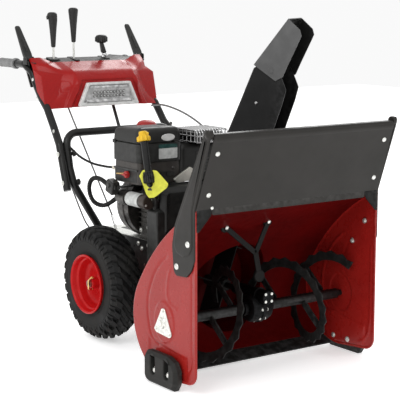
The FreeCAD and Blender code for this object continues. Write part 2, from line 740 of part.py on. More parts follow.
def chute():
    """Plastic chute: a round base and a channel that is open towards the front."""
    low = RING_Z + FLANGE + GAP
    base = ring((0, CHUTE_Y, low), (0, CHUTE_Y, low + 30), 92, 76)
    half = CHUTE_HALF
    neck = 470.0
    deck = box(-half, half, out(112), out(-80), neck - 6, neck)
    deck = deck.cut(rod((0, CHUTE_Y, neck - 10), (0, CHUTE_Y, neck + 10), 76))
    wall = [(out(-70), neck), (out(110), neck), (out(205), 760), (out(244), 870), (out(249), 893),
            (out(243), 910), (out(226), 950), (out(205), 985), (out(180), 985), (out(150), 965),
            (out(137), 961)]
    body = side_profile(wall, -half, half)
    shift = SHEET / math.cos(math.radians(22.4))
    hollow = [(out(-70 + shift), neck), (out(300), neck), (out(300), 990), (out(137 + shift), 990),
              (out(137 + shift), 961)]
    body = body.cut(side_profile(hollow, -half + SHEET, half - SHEET))
    return chute_frame(fuse([base, deck, body]))


def deflector():
    """Hinged cap on top of the chute that sets how far the snow is thrown."""
    half = CHUTE_HALF + SHEET + GAP
    outline = [(out(141), 974), (out(213), 923), (out(238), 936), (out(298), 1064), (out(293), 1084),
               (out(254), 1120)]
    body = side_profile(outline, -half, half)
    hollow = [(out(143.4), 972.2), (out(143.4), 880), (out(400), 880), (out(400), 1140), (out(258), 1140),
              (out(256.4), 1118.2)]
    inner = half - SHEET
    body = body.cut(side_profile(hollow, -inner, inner))
    pins = []
    for side in SIDES:
        pin = rod((side * half, out(HINGE_OUT), HINGE_Z), (side * (half + 8), out(HINGE_OUT), HINGE_Z), 9)
        pins.append(pin)
    return chute_frame(fuse([body] + pins))


# ---------------------------------------------------------------- engine
def belt_cover():
    """Moulded cover over the belts, from the engine's front down to the frame."""
    front = -266
    outline = [(-152, 388), (-152, 538), (-128, 556), (96, 556), (122, 534), (122, 388)]
    inside = [(-149, 380), (-149, 537), (-127, 553), (95, 553), (119, 532), (119, 380)]
    body = front_profile(outline, front, -190)
    hollow = front_profile(inside, front + SHEET, -180)
    skirt = front_profile([(-122, 270), (-122, 388), (122, 388), (122, 270)], front, front + SHEET)
    return fuse([body.cut(hollow), skirt])


def engine_block():
    """Cast crankcase with its foot, cylinder and finned head towards the left."""
    foot = box(-118, 75, -190, -62, DECK_Z, DECK_Z + 14)
    case = box(-118, 62, -200, -62, DECK_Z + 14, 545)
    nose = rod((CRANK_X, BOX_FRONT + 3, CRANK_Z), (CRANK_X, -199, CRANK_Z), 40)
    barrel = box(62, 92, -176, -84, 420, 540)
    fins = [box(92 + 9 * i, 97 + 9 * i, -186, -74, 410, 550) for i in range(6)]
    core = box(62, 146, -166, -94, 430, 530)
    body = fuse([foot, case, nose, barrel, core] + fins)
    crank_bore = rod((CRANK_X, -230, CRANK_Z), (CRANK_X, -120, CRANK_Z), 9 + FIT)
    return body.cut(crank_bore)


def shell_box(x0, x1, y0, y1, z0, z1, wall, round_r):
    """A box-shaped cover, open below, with rounded upright edges and a rounded top."""
    outer = box(x0, x1, y0, y1, z0, z1)
    upright = [e for e in outer.Edges if e.BoundBox.ZLength > (z1 - z0) * 0.9]
    outer = outer.makeFillet(round_r, upright)
    rim = [e for e in outer.Edges if e.BoundBox.ZLength < 0.01 and abs(e.BoundBox.ZMax - z1) < 0.01]
    outer = outer.makeFillet(round_r * 0.5, rim)
    inner = box(x0 + wall, x1 - wall, y0 + wall, y1 - wall, z0 - 1, z1 - wall)
    return outer.cut(inner)


def fan_room():
    """Space that the covers leave for the fan housing."""
    return rod((CRANK_X, FAN_FRONT - 1, CRANK_Z), (CRANK_X, 40, CRANK_Z), FAN_R + 1)


def heater_box():
    """Warm-air box over the carburettor: an upper lid over a slightly smaller skirt."""
    upper = shell_box(BOX_SIDE - 6, -38, BOX_FRONT, -32, 632, 755, 3, 18)
    lower = shell_box(BOX_SIDE, -38, BOX_FRONT + 6, -36, 562, 640, 3, 14)
    choke_hole = rod((BOX_SIDE - 5, CHOKE_Y, CHOKE_Z), (BOX_SIDE + 30, CHOKE_Y, CHOKE_Z), 6)
    return cut(fuse([upper, lower]), [choke_hole, fan_room()])


def engine_shroud():
    """Black cowl over the cylinder and exhaust side of the engine."""
    return shell_box(-36, 150, BOX_FRONT, -32, 562, 690, 3, 18).cut(fan_room())


def blower_housing():
    """Round fan housing behind the engine, with the recoil starter's cover."""
    drum = rod((CRANK_X, FAN_FRONT, CRANK_Z), (CRANK_X, 30, CRANK_Z), FAN_R)
    cap = turned([(30, 0), (30, 84), (44, 76), (50, 60), (50, 0)], (CRANK_X, 0, CRANK_Z), Y_AXIS)
    hollow = rod((CRANK_X, FAN_FRONT - 1, CRANK_Z), (CRANK_X, 26, CRANK_Z), FAN_R - 4)
    pocket = rod((CRANK_X, 25, CRANK_Z), (CRANK_X, 46, CRANK_Z), 56)
    guide = box(40, 66, 28, 44, 500, 545)
    guide_hole = rod((53, 20, 522), (53, 50, 522), 7)
    return cut(fuse([drum, cap, guide]), [hollow, pocket, guide_hole])


def recoil_handle():
    """Pull handle of the recoil starter, resting on its guide."""
    bar = rod((25, 56, 522), (81, 56, 522), 9)
    stem = rod((53, 44.5, 522), (53, 56, 522), 7)
    return fuse([bar, stem])


CAP_X = -33.0
CAP_Y = 10.0
TANK_TOP = 722.0


def fuel_tank():
    """Steel fuel tank at the back of the engine with its filler neck."""
    body = box(-112, 118, -29, 66, 592, TANK_TOP)
    upright = [e for e in body.Edges if e.BoundBox.ZLength > 100]
    body = body.makeFillet(22, upright)
    rim = [e for e in body.Edges if e.BoundBox.ZLength < 0.01]
    body = body.makeFillet(9, rim)
    inner = box(-106, 112, -24, 60, 598, TANK_TOP - 3)
    neck = ring((CAP_X, CAP_Y, TANK_TOP - 6), (CAP_X, CAP_Y, TANK_TOP + 14), 28, 25)
    mouth = rod((CAP_X, CAP_Y, TANK_TOP - 12), (CAP_X, CAP_Y, TANK_TOP + 20), 25)
    drum = rod((CRANK_X, -100, CRANK_Z), (CRANK_X, 100, CRANK_Z), FAN_R)
    stands = [box(x, x + 16, 2, 22, 530, 593).cut(drum) for x in (-96, 14)]
    return fuse([body.cut(inner).cut(mouth), neck] + stands)


def fuel_cap():
    """Screw cap with a domed top and finger grips."""
    cap = turned([(0, 0), (0, 28.5), (-14, 28.5), (-14, 34), (6, 34), (14, 30), (18, 20), (19, 0)],
                 (CAP_X, CAP_Y, TANK_TOP + 15), Z_AXIS)
    return cap


FILLER_TOP = Vec(-201.5, -234.6, 714)
FILLER_KNEE = Vec(-203, -270, 572)


def dipstick_tube():
    """Oil filler tube from the crankcase round the starter and up beside the carburettor box."""
    points = [(-118, -170, 373), (-160, -213, 373), (-190, -266, 430), tuple(FILLER_KNEE), tuple(FILLER_TOP)]
    outer = bent_rod(points, 22, 12)
    inner = bent_rod(points, 22, 9)
    upward = (FILLER_TOP - FILLER_KNEE).normalize()
    collar = Part.makeCylinder(17, 20, FILLER_KNEE + upward * 14, upward)
    return outer.fuse(collar).cut(inner)


def dipstick_cap():
    """Yellow filler cap with the dipstick that hangs in the tube."""
    upward = (FILLER_TOP - FILLER_KNEE).normalize()
    start = FILLER_TOP + upward * GAP
    lid = Part.makeCylinder(17, 26, start, upward)
    top = Part.makeCylinder(13, 34, start, upward)
    wings = Part.makeCylinder(20, 12, start + upward * 10, upward)
    stick_length = 112
    stick = Part.makeCylinder(2.5, stick_length, start - upward * (stick_length - 2), upward)
    return fuse([lid, top, wings, stick])


STARTER_X = -186.0
STARTER_Z = 508.0


def starter_motor():
    """Electric starter along the engine's right side."""
    body = rod((STARTER_X, -240, STARTER_Z), (STARTER_X, -52, STARTER_Z), 27.5)
    nose = turned([(-52, 0), (-52, 27.5), (-40, 25), (-30, 18), (-25, 0)], (STARTER_X, 0, STARTER_Z), Y_AXIS)
    lug = box(-165, -118, -185, -120, 494, 522)
    return fuse([body, nose, lug])


def switch_box():
    """Starter switch box with the socket for the mains lead."""
    body = box(-240, -209, -92, -48, 538, 572)
    arm = box(-210, -118.5, -84, -62, 540, 545)
    return fuse([body, arm])


def engine_leads():
    """Ribbed starter lead in its loop, and the work light's lead from the handle to the engine."""
    loop = bent_rod([(-224, -46.5, 555), (-226, 22, 562), (-228, 64, 528), (-222, 52, 480),
                     (-200, 6, 468), (STARTER_X, -22, 496)], 18, 6)
    light = bent_rod([(-225, 218, 652), (-205, 130, 612), (-186, 44, 592), (-168, -30, 596)], 40, 4)
    return [loop, light]


def choke_knob():
    """Round choke knob on the right side of the carburettor box."""
    stem = rod((BOX_SIDE + 20, CHOKE_Y, CHOKE_Z), (BOX_SIDE - 1, CHOKE_Y, CHOKE_Z), 5)
    knob = rod((BOX_SIDE - 1, CHOKE_Y, CHOKE_Z), (BOX_SIDE - 14, CHOKE_Y, CHOKE_Z), 12)
    wing = box(BOX_SIDE - 20, BOX_SIDE - 10, CHOKE_Y - 12, CHOKE_Y + 12, CHOKE_Z - 3, CHOKE_Z + 3)
    return fuse([stem, knob, wing])


def muffler():
    """Exhaust silencer on top of the cowl."""
    body = box(-22, 114, -240, -120, 694, 730)
    edges = [e for e in body.Edges if e.BoundBox.XLength > 100]
    return body.makeFillet(14, edges)


def muffler_guard():
    """Welded wire cage over the silencer."""
    wire = 3.0
    x0, x1, y0, y1, z0, z1 = -34, 128, -256, -106, 694, 742
    hoops = 8
    wires = []
    for i in range(hoops):
        x = x0 + (x1 - x0) * i / (hoops - 1)
        wires.append(bent_rod([(x, y0, z0), (x, y0, z1), (x, y1, z1), (x, y1, z0)], 12, wire))
    for z in (z0 + 4, z0 + 30):
        for y in (y0, y1):
            wires.append(rod((x0, y, z), (x1, y, z), wire))
    for y in (y0 + 34, y0 + 75, y0 + 116):
        wires.append(rod((x0, y, z1), (x1, y, z1), wire))
    return fuse(wires)


# ---------------------------------------------------------------- handles
def lower_handle():
    """One tube bent into a U: two legs from the frame and a cross bar behind the engine."""
    foot_x = -(FRAME_HALF + TUBE + 0.2)
    right = [(foot_x, 184, 310), (foot_x, 186, 352), (-222, 200, 520), (-LEG_X, 223, 578),
             (-LEG_X, 250, 700)]
    left = [(-x, y, z) for x, y, z in reversed(right)]
    return bent_rod(right + left, 45, TUBE)


def upper_path(side):
    """Route of an upper tube from the lower handle's leg to the end of the grip."""
    return [(side * 254, 190, 500), (side * 254, 240, 664), (side * 242, 292, 716), (side * 226, 352, 800),
            (side * 226, 425, 905), (side * GRIP_X, 500, GRIP_Z), (side * GRIP_X, 706, GRIP_Z)]


def upper_handle(side):
    """Tube up through the console to the grip, with the welded lugs and pin of the clutch lever."""
    tube = bent_rod(upper_path(side), 40, TUBE)
    x = side * GRIP_X
    pin = rod((x - 16, LEVER_Y, LEVER_Z), (x + 16, LEVER_Y, LEVER_Z), 3)
    cheeks = []
    for middle in (x - 14.3, x + 14.3):
        cheeks.append(box(middle - 1.8, middle + 1.8, 474, 502, GRIP_Z + 1, LEVER_Z + 9))
    return fuse([tube, pin] + cheeks)


def handle_bolts():
    """Bolts that clamp each upper tube to the lower handle."""
    made = []
    for side in SIDES:
        for y, z in ((198, 528), (229, 628)):
            head = rod((side * 268, y, z), (side * 276, y, z), 9)
            shank = rod((side * 200, y, z), (side * 268, y, z), 4)
            nut = rod((side * 203, y, z), (side * 211, y, z), 8)
            made.append(fuse([head, shank, nut]))
        foot_x = FRAME_HALF + 2 * TUBE
        head = rod((side * foot_x, 184, 332), (side * (foot_x + 8), 184, 332), 9)
        shank = rod((side * 96, 184, 332), (side * foot_x, 184, 332), 4)
        made.append(fuse([head, shank]))
    return made


def control_rod():
    """Rod from the speed lever down to the friction wheel's fork in the frame."""
    return rod((52, 392, 815), (52, 150, DECK_Z + 4), 6)


def dash_sections():
    """Side-view sections of the console: in the middle, and at its ends."""
    middle = [(324, 784), (322, 872), (352, 914), (446, 944), (500, 957), (540, 950), (520, 800)]
    ends = [(350, 779), (410, 829), (449, 915), (474, 938), (496, 954), (528, 945), (470, 792)]
    return middle, ends


def dash_solid(middle, ends, inner_x, outer_x):
    """A console-shaped solid: a prism in the middle and a ruled wedge at each end."""
    def wire(section, x):
        points = [Vec(x, y, z) for y, z in section]
        return Part.makePolygon(points + points[:1])
    centre = side_profile(middle, -inner_x, inner_x)
    wedges = []
    for side in SIDES:
        loft = Part.makeLoft([wire(middle, side * inner_x), wire(ends, side * outer_x)], True, True)
        wedges.append(loft)
    return fuse([centre] + wedges)


def dash_console(tubes):
    """Moulded console across the handles, open underneath and behind."""
    middle, ends = dash_sections()
    outer = dash_solid(middle, ends, 128, DASH_HALF)
    inner_middle = [(328, 760), (326, 870), (354, 910), (447, 940), (500, 953), (600, 946), (600, 760)]
    inner_ends = [(354, 755), (414, 828), (452, 912), (476, 934), (496, 950), (600, 941), (600, 755)]
    inner = dash_solid(inner_middle, inner_ends, 126, DASH_HALF - 4)
    slots = []
    for x in (-141, -54):
        slots.append(box(x - 24, x + 24, 440, 520, 915, 970))
    slots.append(box(73, 97, 455, 530, 915, 970))
    lever_room = [box(*sorted((side * 221, side * 262)), 460, 600, 895, 990) for side in SIDES]
    return cut(outer.cut(inner), slots + lever_room + tubes)


def work_light():
    """Trapezium work light on the console's front: housing with bezel."""
    face_y = 322
    outline = [(-130, 786), (-92, 872), (92, 872), (130, 786)]
    body = front_profile(outline, face_y - 12, face_y)
    window = front_profile([(-112, 797), (-84, 862), (84, 862), (112, 797)], face_y - 13, face_y - 4)
    return body.cut(window)


def light_lens():
    """Clear lens with its rows of lamps, set in the bezel."""
    return front_profile([(-112, 797), (-84, 862), (84, 862), (112, 797)], 322 - 9, 322 - 4)


def grip(side):
    """Ribbed rubber grip on the end of the handle tube."""
    x = side * GRIP_X
    outer = [(584, TUBE), (584, 20), (598, 20), (598, 16.5)]
    outer += [(598 + 10 * i + o, 16.5 if o else 15.5) for i in range(10) for o in (0, 5)]
    outer += [(704, 17.5), (710, 16), (710, 0), (706, 0), (706, TUBE)]
    return turned(outer, (x, 0, GRIP_Z), Y_AXIS)


def clutch_lever(side):
    """Paddle lever above a grip, hinged on the tube just behind the console."""
    x = side * GRIP_X
    root = Vec(x, LEVER_Y, LEVER_Z)
    tip = Vec(x, 576, 1074)
    along = (tip - root)
    angle = math.degrees(math.atan2(along.z, along.y))
    blade = box(x - 11, x + 11, 18, along.Length, -4, 4)
    tip_pad = box(x - 13, x + 13, along.Length - 58, along.Length, -5, 6)
    arm = box(x - 8, x + 8, -2, 30, -5, 5)
    lever = fuse([blade, tip_pad, arm])
    lever.rotate(Vec(0, 0, 0), X_AXIS, angle)
    lever.translate(Vec(0, root.y, root.z))
    hub = rod((x - 12, LEVER_Y, LEVER_Z), (x + 12, LEVER_Y, LEVER_Z), 7)
    return cut(fuse([lever, hub]), [rod((x - 20, LEVER_Y, LEVER_Z), (x + 20, LEVER_Y, LEVER_Z), 3 + FIT)])


def pivot(x, y, z, axis, radius, half):
    """Round pivot at the foot of a lever."""
    return Part.makeCylinder(radius, 2 * half, Vec(x, y, z) - axis * half, axis)


def stick(x, axis, rod_top, grip_top):
    """Tall control lever on a round pivot, with a tapered black grip."""
    stem = rod((x, STICK_Y, STICK_PIVOT_Z), (x, STICK_Y, rod_top + 4), 4)
    foot = pivot(x, STICK_Y, STICK_PIVOT_Z, axis, 8, 9)
    height = grip_top - rod_top
    outline = [(0, 0), (0, 8), (height * 0.5, 11), (height * 0.8, 16), (height - 6, 19), (height, 14),
               (height, 0)]
    handle = turned(outline, (x, STICK_Y, rod_top), Z_AXIS)
    return fuse([stem, foot, handle])


def knob_lever():
    """Short jointed lever with a round knob."""
    x = 85
    top_x = 77
    y = 496
    stem = rod((x, y, STICK_PIVOT_Z + 5), (x, y, 985), 4)
    crank = rod((x, y, 985), (top_x, y, 1006), 4)
    knob = turned([(0, 0), (0, 17), (5, 22), (18, 23), (27, 18), (31, 0)], (top_x, y, 1008), Z_AXIS)
    link = Part.makeSphere(7, Vec(x, y, 985))
    neck = rod((top_x, y, 1004), (top_x, y, 1010), 6)
    foot = pivot(x, y, STICK_PIVOT_Z + 5, X_AXIS, 8, 9)
    return fuse([stem, crank, knob, link, neck, foot])


def clutch_cables():
    """Two clutch cables down to the frame, each with its pull spring as a plain barrel."""
    drive = bent_rod([(-150, 372, 800), (-150, 350, 768), (-112, 176, 478), (-104, 132, 405)], 60, 2.5)
    auger = bent_rod([(-230, 378, 774), (-236, 345, 715), (-150, 262, 380), (-137, 240, 348)], 60, 2.5)
    springs = [rod((-104, 132, 404.5), (-103, 106, DECK_Z + 4), 5.5),
               rod((-136.6, 239.3, 347), (-131, 209, 316), 5.5)]
    return [drive, auger] + springs


def chute_cable():
    """Control cable from the console over the engine to the flange under the chute."""
    points = [(206, 342, 772), (202, 250, 784), (192, 60, 756), (176, -120, 690), (150, -255, 600),
              (150, -300, 500), (150, -325, 431), (99.5, -345, 431)]
    return bent_rod(points, 22, 4)


# ---------------------------------------------------------------- assembly
def build():
    """Every piece by name; a list is a group of separate solids."""
    bolts = {side: skid_bolts(side) + arm_bolts(side) for side in SIDES}
    face_bolts = panel_bolts()
    tubes = [upper_handle(side) for side in SIDES]
    leg = lower_handle()
    block = engine_block()
    clamps = handle_bolts()
    pieces = {
        "auger_housing": auger_housing(),
        "side_plate_right": side_plate(-1, bolts[-1]),
        "side_plate_left": side_plate(1, bolts[1]),
        "impeller_drum": impeller_drum(),
        "scraper_bar": scraper_bar(),
        "bearing_plates": [bearing_plate(side) for side in SIDES],
        "housing_bolts": bolts[-1] + bolts[1] + face_bolts,
        "side_arms": [side_arm(side, bolts[side]) for side in SIDES],
        "front_panel": front_panel(face_bolts),
        "gear_case_brace": gear_case_brace(),
        "auger_gear_case": gear_case(),
        "auger_shaft": auger_shaft(),
        "auger_flights": [s for side in SIDES for s in [ribbon(side)] + ribbon_arms(side)],
        "worm_wheel": worm_wheel(),
        "impeller": impeller(),
        "impeller_shaft": impeller_shaft(),
        "auger_pulley": auger_pulley(),
        "crankshaft": crankshaft(),
        "drive_belts": drive_belts(),
        "friction_plate": friction_plate(),
        "friction_wheel": friction_wheel(),
        "drive_chain": drive_chain(),
        "axle": axle(),
        "wheel_rims": [shape(side) for side in SIDES for shape in (rim_barrel, rim_disc)],
        "tyres": [tyre(side) for side in SIDES],
        "skid_shoe_right": skid_shoe(-1),
        "skid_shoe_left": skid_shoe(1),
        "tractor_frame": tractor_frame([leg] + clamps),
        "chute": chute(),
        "deflector": deflector(),
        "belt_cover": belt_cover(),
        "engine_block": block,
        "engine_shroud": engine_shroud(),
        "heater_box": heater_box(),
        "blower_housing": blower_housing(),
        "recoil_handle": recoil_handle(),
        "fuel_tank": fuel_tank(),
        "fuel_cap": fuel_cap(),
        "dipstick_tube": dipstick_tube().cut(block),
        "dipstick_cap": dipstick_cap(),
        "starter_motor": starter_motor(),
        "switch_box": switch_box(),
        "engine_leads": engine_leads(),
        "choke_knob": choke_knob(),
        "muffler": muffler(),
        "muffler_guard": muffler_guard(),
        "lower_handle": cut(leg, clamps),
        "upper_handles": [cut(tube, clamps) for tube in tubes],
        "handle_bolts": clamps,
        "control_rod": control_rod(),
        "dash_console": dash_console([tube_room(side) for side in SIDES]),
        "work_light": [work_light(), light_lens()],
        "hand_grips": [grip(side) for side in SIDES],
        "clutch_lever_right": clutch_lever(-1),
        "clutch_lever_left": clutch_lever(1),
        "speed_stick": stick(-54, X_AXIS, 1014, 1143),
        "chute_stick": stick(-141, Y_AXIS, 997, 1127),
        "knob_lever": knob_lever(),
        "clutch_cables": clutch_cables(),
        "chute_cable": chute_cable(),
    }
    return pieces


def tube_room(side):
    """Room for an upper tube where it passes through the console."""
    return bent_rod(upper_path(side)[1:], 40, TUBE + 1)


def as_solids(piece):
    """The separate solids of a piece."""
    shapes = piece if isinstance(piece, list) else [piece]
    solids = []
    for shape in shapes:
        solids += shape.Solids
    return solids


def main():
    """Centre the machine over the origin and write one STEP file per piece."""
    pieces = {name: as_solids(piece) for name, piece in build().items()}
    everything = Part.Compound([s for solids in pieces.values() for s in solids])
    limits = everything.BoundBox
    shift = Vec(-(limits.XMin + limits.XMax) / 2, -(limits.YMin + limits.YMax) / 2, -limits.ZMin)
    print("limits", limits, "shift", shift)
    os.makedirs("parts", exist_ok=True)
    for name, solids in pieces.items():
        placed = [s.translated(shift) for s in solids]
        shape = placed[0] if len(placed) == 1 else Part.Compound(placed)
        shape.exportStep("parts/" + name + ".step")
    return pieces, shift


if __name__ == "__main__":
    main()
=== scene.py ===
"""Looks of the snow blower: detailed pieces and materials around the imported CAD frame.

Pieces are drawn in the part's own design frame, in millimetres: X = 0 is the centre plane, Y = 0
the wheel axle, Z = 0 the ground, the mouth opens towards -Y and the operator's right is -X.
place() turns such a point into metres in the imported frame.
"""
import math
import bpy
import bmesh
from mathutils import Matrix, Vector
from mathutils.geometry import tessellate_polygon


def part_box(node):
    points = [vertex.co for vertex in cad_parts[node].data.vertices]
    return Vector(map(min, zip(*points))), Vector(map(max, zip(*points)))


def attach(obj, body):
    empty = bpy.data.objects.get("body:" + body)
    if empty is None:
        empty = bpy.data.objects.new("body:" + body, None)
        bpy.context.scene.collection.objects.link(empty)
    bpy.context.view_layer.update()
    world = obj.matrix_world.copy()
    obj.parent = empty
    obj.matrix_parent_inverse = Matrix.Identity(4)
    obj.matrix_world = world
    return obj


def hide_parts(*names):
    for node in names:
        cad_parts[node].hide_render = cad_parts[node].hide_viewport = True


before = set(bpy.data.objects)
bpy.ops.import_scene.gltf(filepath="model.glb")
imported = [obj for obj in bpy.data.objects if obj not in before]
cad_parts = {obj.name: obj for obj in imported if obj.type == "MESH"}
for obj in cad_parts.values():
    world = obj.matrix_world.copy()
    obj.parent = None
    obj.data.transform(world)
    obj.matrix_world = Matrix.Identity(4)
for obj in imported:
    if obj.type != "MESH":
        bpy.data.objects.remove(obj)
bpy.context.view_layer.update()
SIDES = (-1, 1)
AXLE_Y = (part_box("axle")[0].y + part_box("axle")[1].y) / 2


def place(point):
    """A design-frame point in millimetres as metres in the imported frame."""
    x, y, z = point
    return Vector((x / 1000, y / 1000 + AXLE_Y, z / 1000))


def edges_of(node):
    """Lowest and highest corner of a CAD node, in the design frame in millimetres."""
    low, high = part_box(node)
    shift = Vector((0, AXLE_Y, 0))
    return (low - shift) * 1000, (high - shift) * 1000


# ---------------------------------------------------------------- places, from the CAD frame
HALF_WIDTH = edges_of("side_plate_left")[1].x
MOUTH_Y = edges_of("side_plate_left")[0].y
MOUTH_TOP = edges_of("side_plate_left")[1].z
AUGER_Y, AUGER_Z = -585.0, 195.0
BARREL_R = 178.0
HOOD_R = 720.0
HOOD_START = 32.0
CORNER_R = 42.0
IMPELLER_Z = AUGER_Z + 42.0
CHUTE_Y = -380.0
CHUTE_TURN = 35.0
HINGE_OUT, HINGE_Z = 200.0, 955.0
TYRE_R = edges_of("tyres")[1].z / 2
WHEEL_X = 228.0
TYRE_HALF = 60.0
RIM_R = 98.0
CRANK_X, CRANK_Z = -45.0, 465.0
TUBE = 14.0
LEG_X = 225.0
GRIP_X, GRIP_Z = 241.0, 935.0
LEVER_Y, LEVER_Z = 488.0, 956.0
BRACE_BOLTS = [(-135, 472), (33, 474)]
REAR_CREASE = [(-601, 402), (-577, 386), (-553, 363), (-534, 340), (-521, 315), (-509, 293), (-501, 269),
               (-496, 247), (-495, 225), (-497, 202), (-501, 180), (-508, 158), (-518, 140), (-534, 127),
               (-553, 120)]
FRONT_CREASE = [(-619, 366), (-611, 345), (-606, 326), (-604, 304), (-605, 283), (-611, 270), (-622, 260),
                (-636, 254), (-656, 251)]
EDGE_GROOVE = [(-738, 372), (-738, 120), (-730, 84), (-712, 56), (-690, 42)]
FILLER_TOP = Vector((-201.5, -234.6, 714))
FILLER_KNEE = Vector((-203, -270, 572))


# ---------------------------------------------------------------- camera, light and floor
def camera():
    """Camera at the photograph's angle: 35 degrees to the right of the mouth, 9 degrees up."""
    data = bpy.data.cameras.new("camera")
    data.lens = 118.72
    data.sensor_width = 36
    obj = bpy.data.objects.new("camera", data)
    obj.location = place((-2551.0, -3883.5, 1208.6))
    obj.rotation_euler = (math.radians(90 - 9.05), 0, math.radians(-35.22))
    bpy.context.scene.collection.objects.link(obj)
    bpy.context.scene.camera = obj


def soft_light(name, where, towards, size, power):
    """A large square lamp that faces a point."""
    data = bpy.data.lights.new(name, "AREA")
    data.size = size
    data.energy = power
    obj = bpy.data.objects.new(name, data)
    obj.location = where
    obj.rotation_euler = (Vector(towards) - Vector(where)).to_track_quat("-Z", "Y").to_euler()
    bpy.context.scene.collection.objects.link(obj)


def studio():
    """Pale floor, white surroundings and three soft lamps."""
    world = bpy.data.worlds.new("studio")
    world.use_nodes = True
    world.node_tree.nodes["Background"].inputs["Color"].default_value = (1, 1, 1, 1)
    world.node_tree.nodes["Background"].inputs["Strength"].default_value = 0.95
    bpy.context.scene.world = world
    bpy.context.scene.view_settings.view_transform = "Standard"
    soft_light("key", (-3.4, -1.6, 3.4), (0, 0, 0.5), 2.2, 60)
    soft_light("front", (-0.4, -4.2, 2.2), (0, 0, 0.4), 2.0, 10)
    soft_light("rim", (2.6, 2.4, 3.0), (0, 0, 0.6), 2.0, 60)
    mesh = bpy.data.meshes.new("floor")
    mesh.from_pydata([(-9, -9, 0), (9, -9, 0), (9, 9, 0), (-9, 9, 0)], [], [(0, 1, 2, 3)])
    floor = bpy.data.objects.new("floor", mesh)
    bpy.context.scene.collection.objects.link(floor)
    material = bpy.data.materials.new("floor")
    material.use_nodes = True
    shader = material.node_tree.nodes["Principled BSDF"]
    shader.inputs["Base Color"].default_value = (0.93, 0.93, 0.93, 1)
    shader.inputs["Roughness"].default_value = 0.6
    shader.inputs["Emission Color"].default_value = (1, 1, 1, 1)
    shader.inputs["Emission Strength"].default_value = 0.45
    mesh.materials.append(material)


# ---------------------------------------------------------------- materials
class Finish:
    """A node material under construction."""

    def __init__(self, name, slot):
        self.material = bpy.data.materials.new(name)
        self.material.use_nodes = True
        self.slot = slot
        self.tree = self.material.node_tree
        self.shader = self.tree.nodes["Principled BSDF"]
        self.coords = self.node("ShaderNodeTexCoord").outputs["Object"]

    def node(self, kind, **settings):
        """A new node with some of its properties set."""
        made = self.tree.nodes.new(kind)
        for key, value in settings.items():
            setattr(made, key, value)
        return made

    def link(self, source, target):
        """Join an output to an input."""
        self.tree.links.new(source, target)

    def noise(self, scale, detail=3.0, stretch=(1, 1, 1)):
        """A noise value between 0 and 1 at so many cells per metre."""
        mapping = self.node("ShaderNodeMapping")
        mapping.inputs["Scale"].default_value = stretch
        self.link(self.coords, mapping.inputs["Vector"])
        made = self.node("ShaderNodeTexNoise")
        made.inputs["Scale"].default_value = scale
        made.inputs["Detail"].default_value = detail
        self.link(mapping.outputs["Vector"], made.inputs["Vector"])
        return made.outputs["Fac"]

    def ramp(self, value, low, high, first=0.0, last=1.0):
        """Stretch a value's range from low..high to first..last."""
        made = self.node("ShaderNodeMapRange")
        self.link(value, made.inputs["Value"])
        made.inputs["From Min"].default_value = low
        made.inputs["From Max"].default_value = high
        made.inputs["To Min"].default_value = first
        made.inputs["To Max"].default_value = last
        return made.outputs["Result"]

    def blend(self, amount, first, second):
        """Mix two colours, each a tuple or an output, by an amount."""
        made = self.node("ShaderNodeMix", data_type="RGBA")
        self.link(amount, made.inputs["Factor"])
        for socket, colour in (("A", first), ("B", second)):
            target = [i for i in made.inputs if i.name == socket and i.type == "RGBA"][0]
            if isinstance(colour, tuple):
                target.default_value = colour + (1,)
            else:
                self.link(colour, target)
        return [o for o in made.outputs if o.type == "RGBA"][0]

    def times(self, first, second):
        """Product of two values."""
        made = self.node("ShaderNodeMath", operation="MULTIPLY")
        self.link(first, made.inputs[0])
        if isinstance(second, float):
            made.inputs[1].default_value = second
        else:
            self.link(second, made.inputs[1])
        return made.outputs[0]

    def edge_wear_and_highlight(self, low=0.53, high=0.62):
        """How far a spot is a raised edge, broken up by noise: the mask for wear on edges and for a painted
        highlight along them.
        """
        geometry = self.node("ShaderNodeNewGeometry")
        edge = self.ramp(geometry.outputs["Pointiness"], low, high)
        return self.times(edge, self.ramp(self.noise(60, 4), 0.4, 0.65))

    def bump(self, height, strength, distance):
        """Relief from a height value, on top of any relief so far."""
        made = self.node("ShaderNodeBump")
        made.inputs["Strength"].default_value = strength
        made.inputs["Distance"].default_value = distance
        self.link(height, made.inputs["Height"])
        normal = self.shader.inputs["Normal"]
        if normal.is_linked:
            self.link(normal.links[0].from_socket, made.inputs["Normal"])
        self.link(made.outputs["Normal"], normal)

    def set(self, **values):
        """Uniform numbers on the shader, such as Metallic or Coat_Weight."""
        for key, value in values.items():
            self.shader.inputs[key.replace("_", " ")].default_value = value

    def colour(self, output):
        """Base colour from an output."""
        self.link(output, self.shader.inputs["Base Color"])

    def rough(self, value, low, high):
        """Roughness that follows a noise value."""
        self.link(self.ramp(value, 0.3, 0.7, low, high), self.shader.inputs["Roughness"])


def paint(name, slot, colour, shade, rough, coat, edge_wear_highlight_colour, gloss=0.3):
    """Sprayed enamel: faint orange peel, cloudy tone, paler on raised edges, partly as wear and partly as a
    painted highlight.
    """
    made = Finish(name, slot)
    cloud = made.noise(7, 4)
    tone = made.blend(made.ramp(cloud, 0.35, 0.65), colour, shade)
    made.colour(made.blend(made.edge_wear_and_highlight(0.56, 0.68), tone, edge_wear_highlight_colour))
    made.rough(made.noise(40, 5), *rough)
    made.bump(made.noise(260, 2), 0.015, 0.0003)
    made.bump(made.noise(2200, 1), 0.05, 0.0002)
    made.set(Coat_Weight=coat, Coat_Roughness=0.08, Specular_IOR_Level=gloss)
    return made


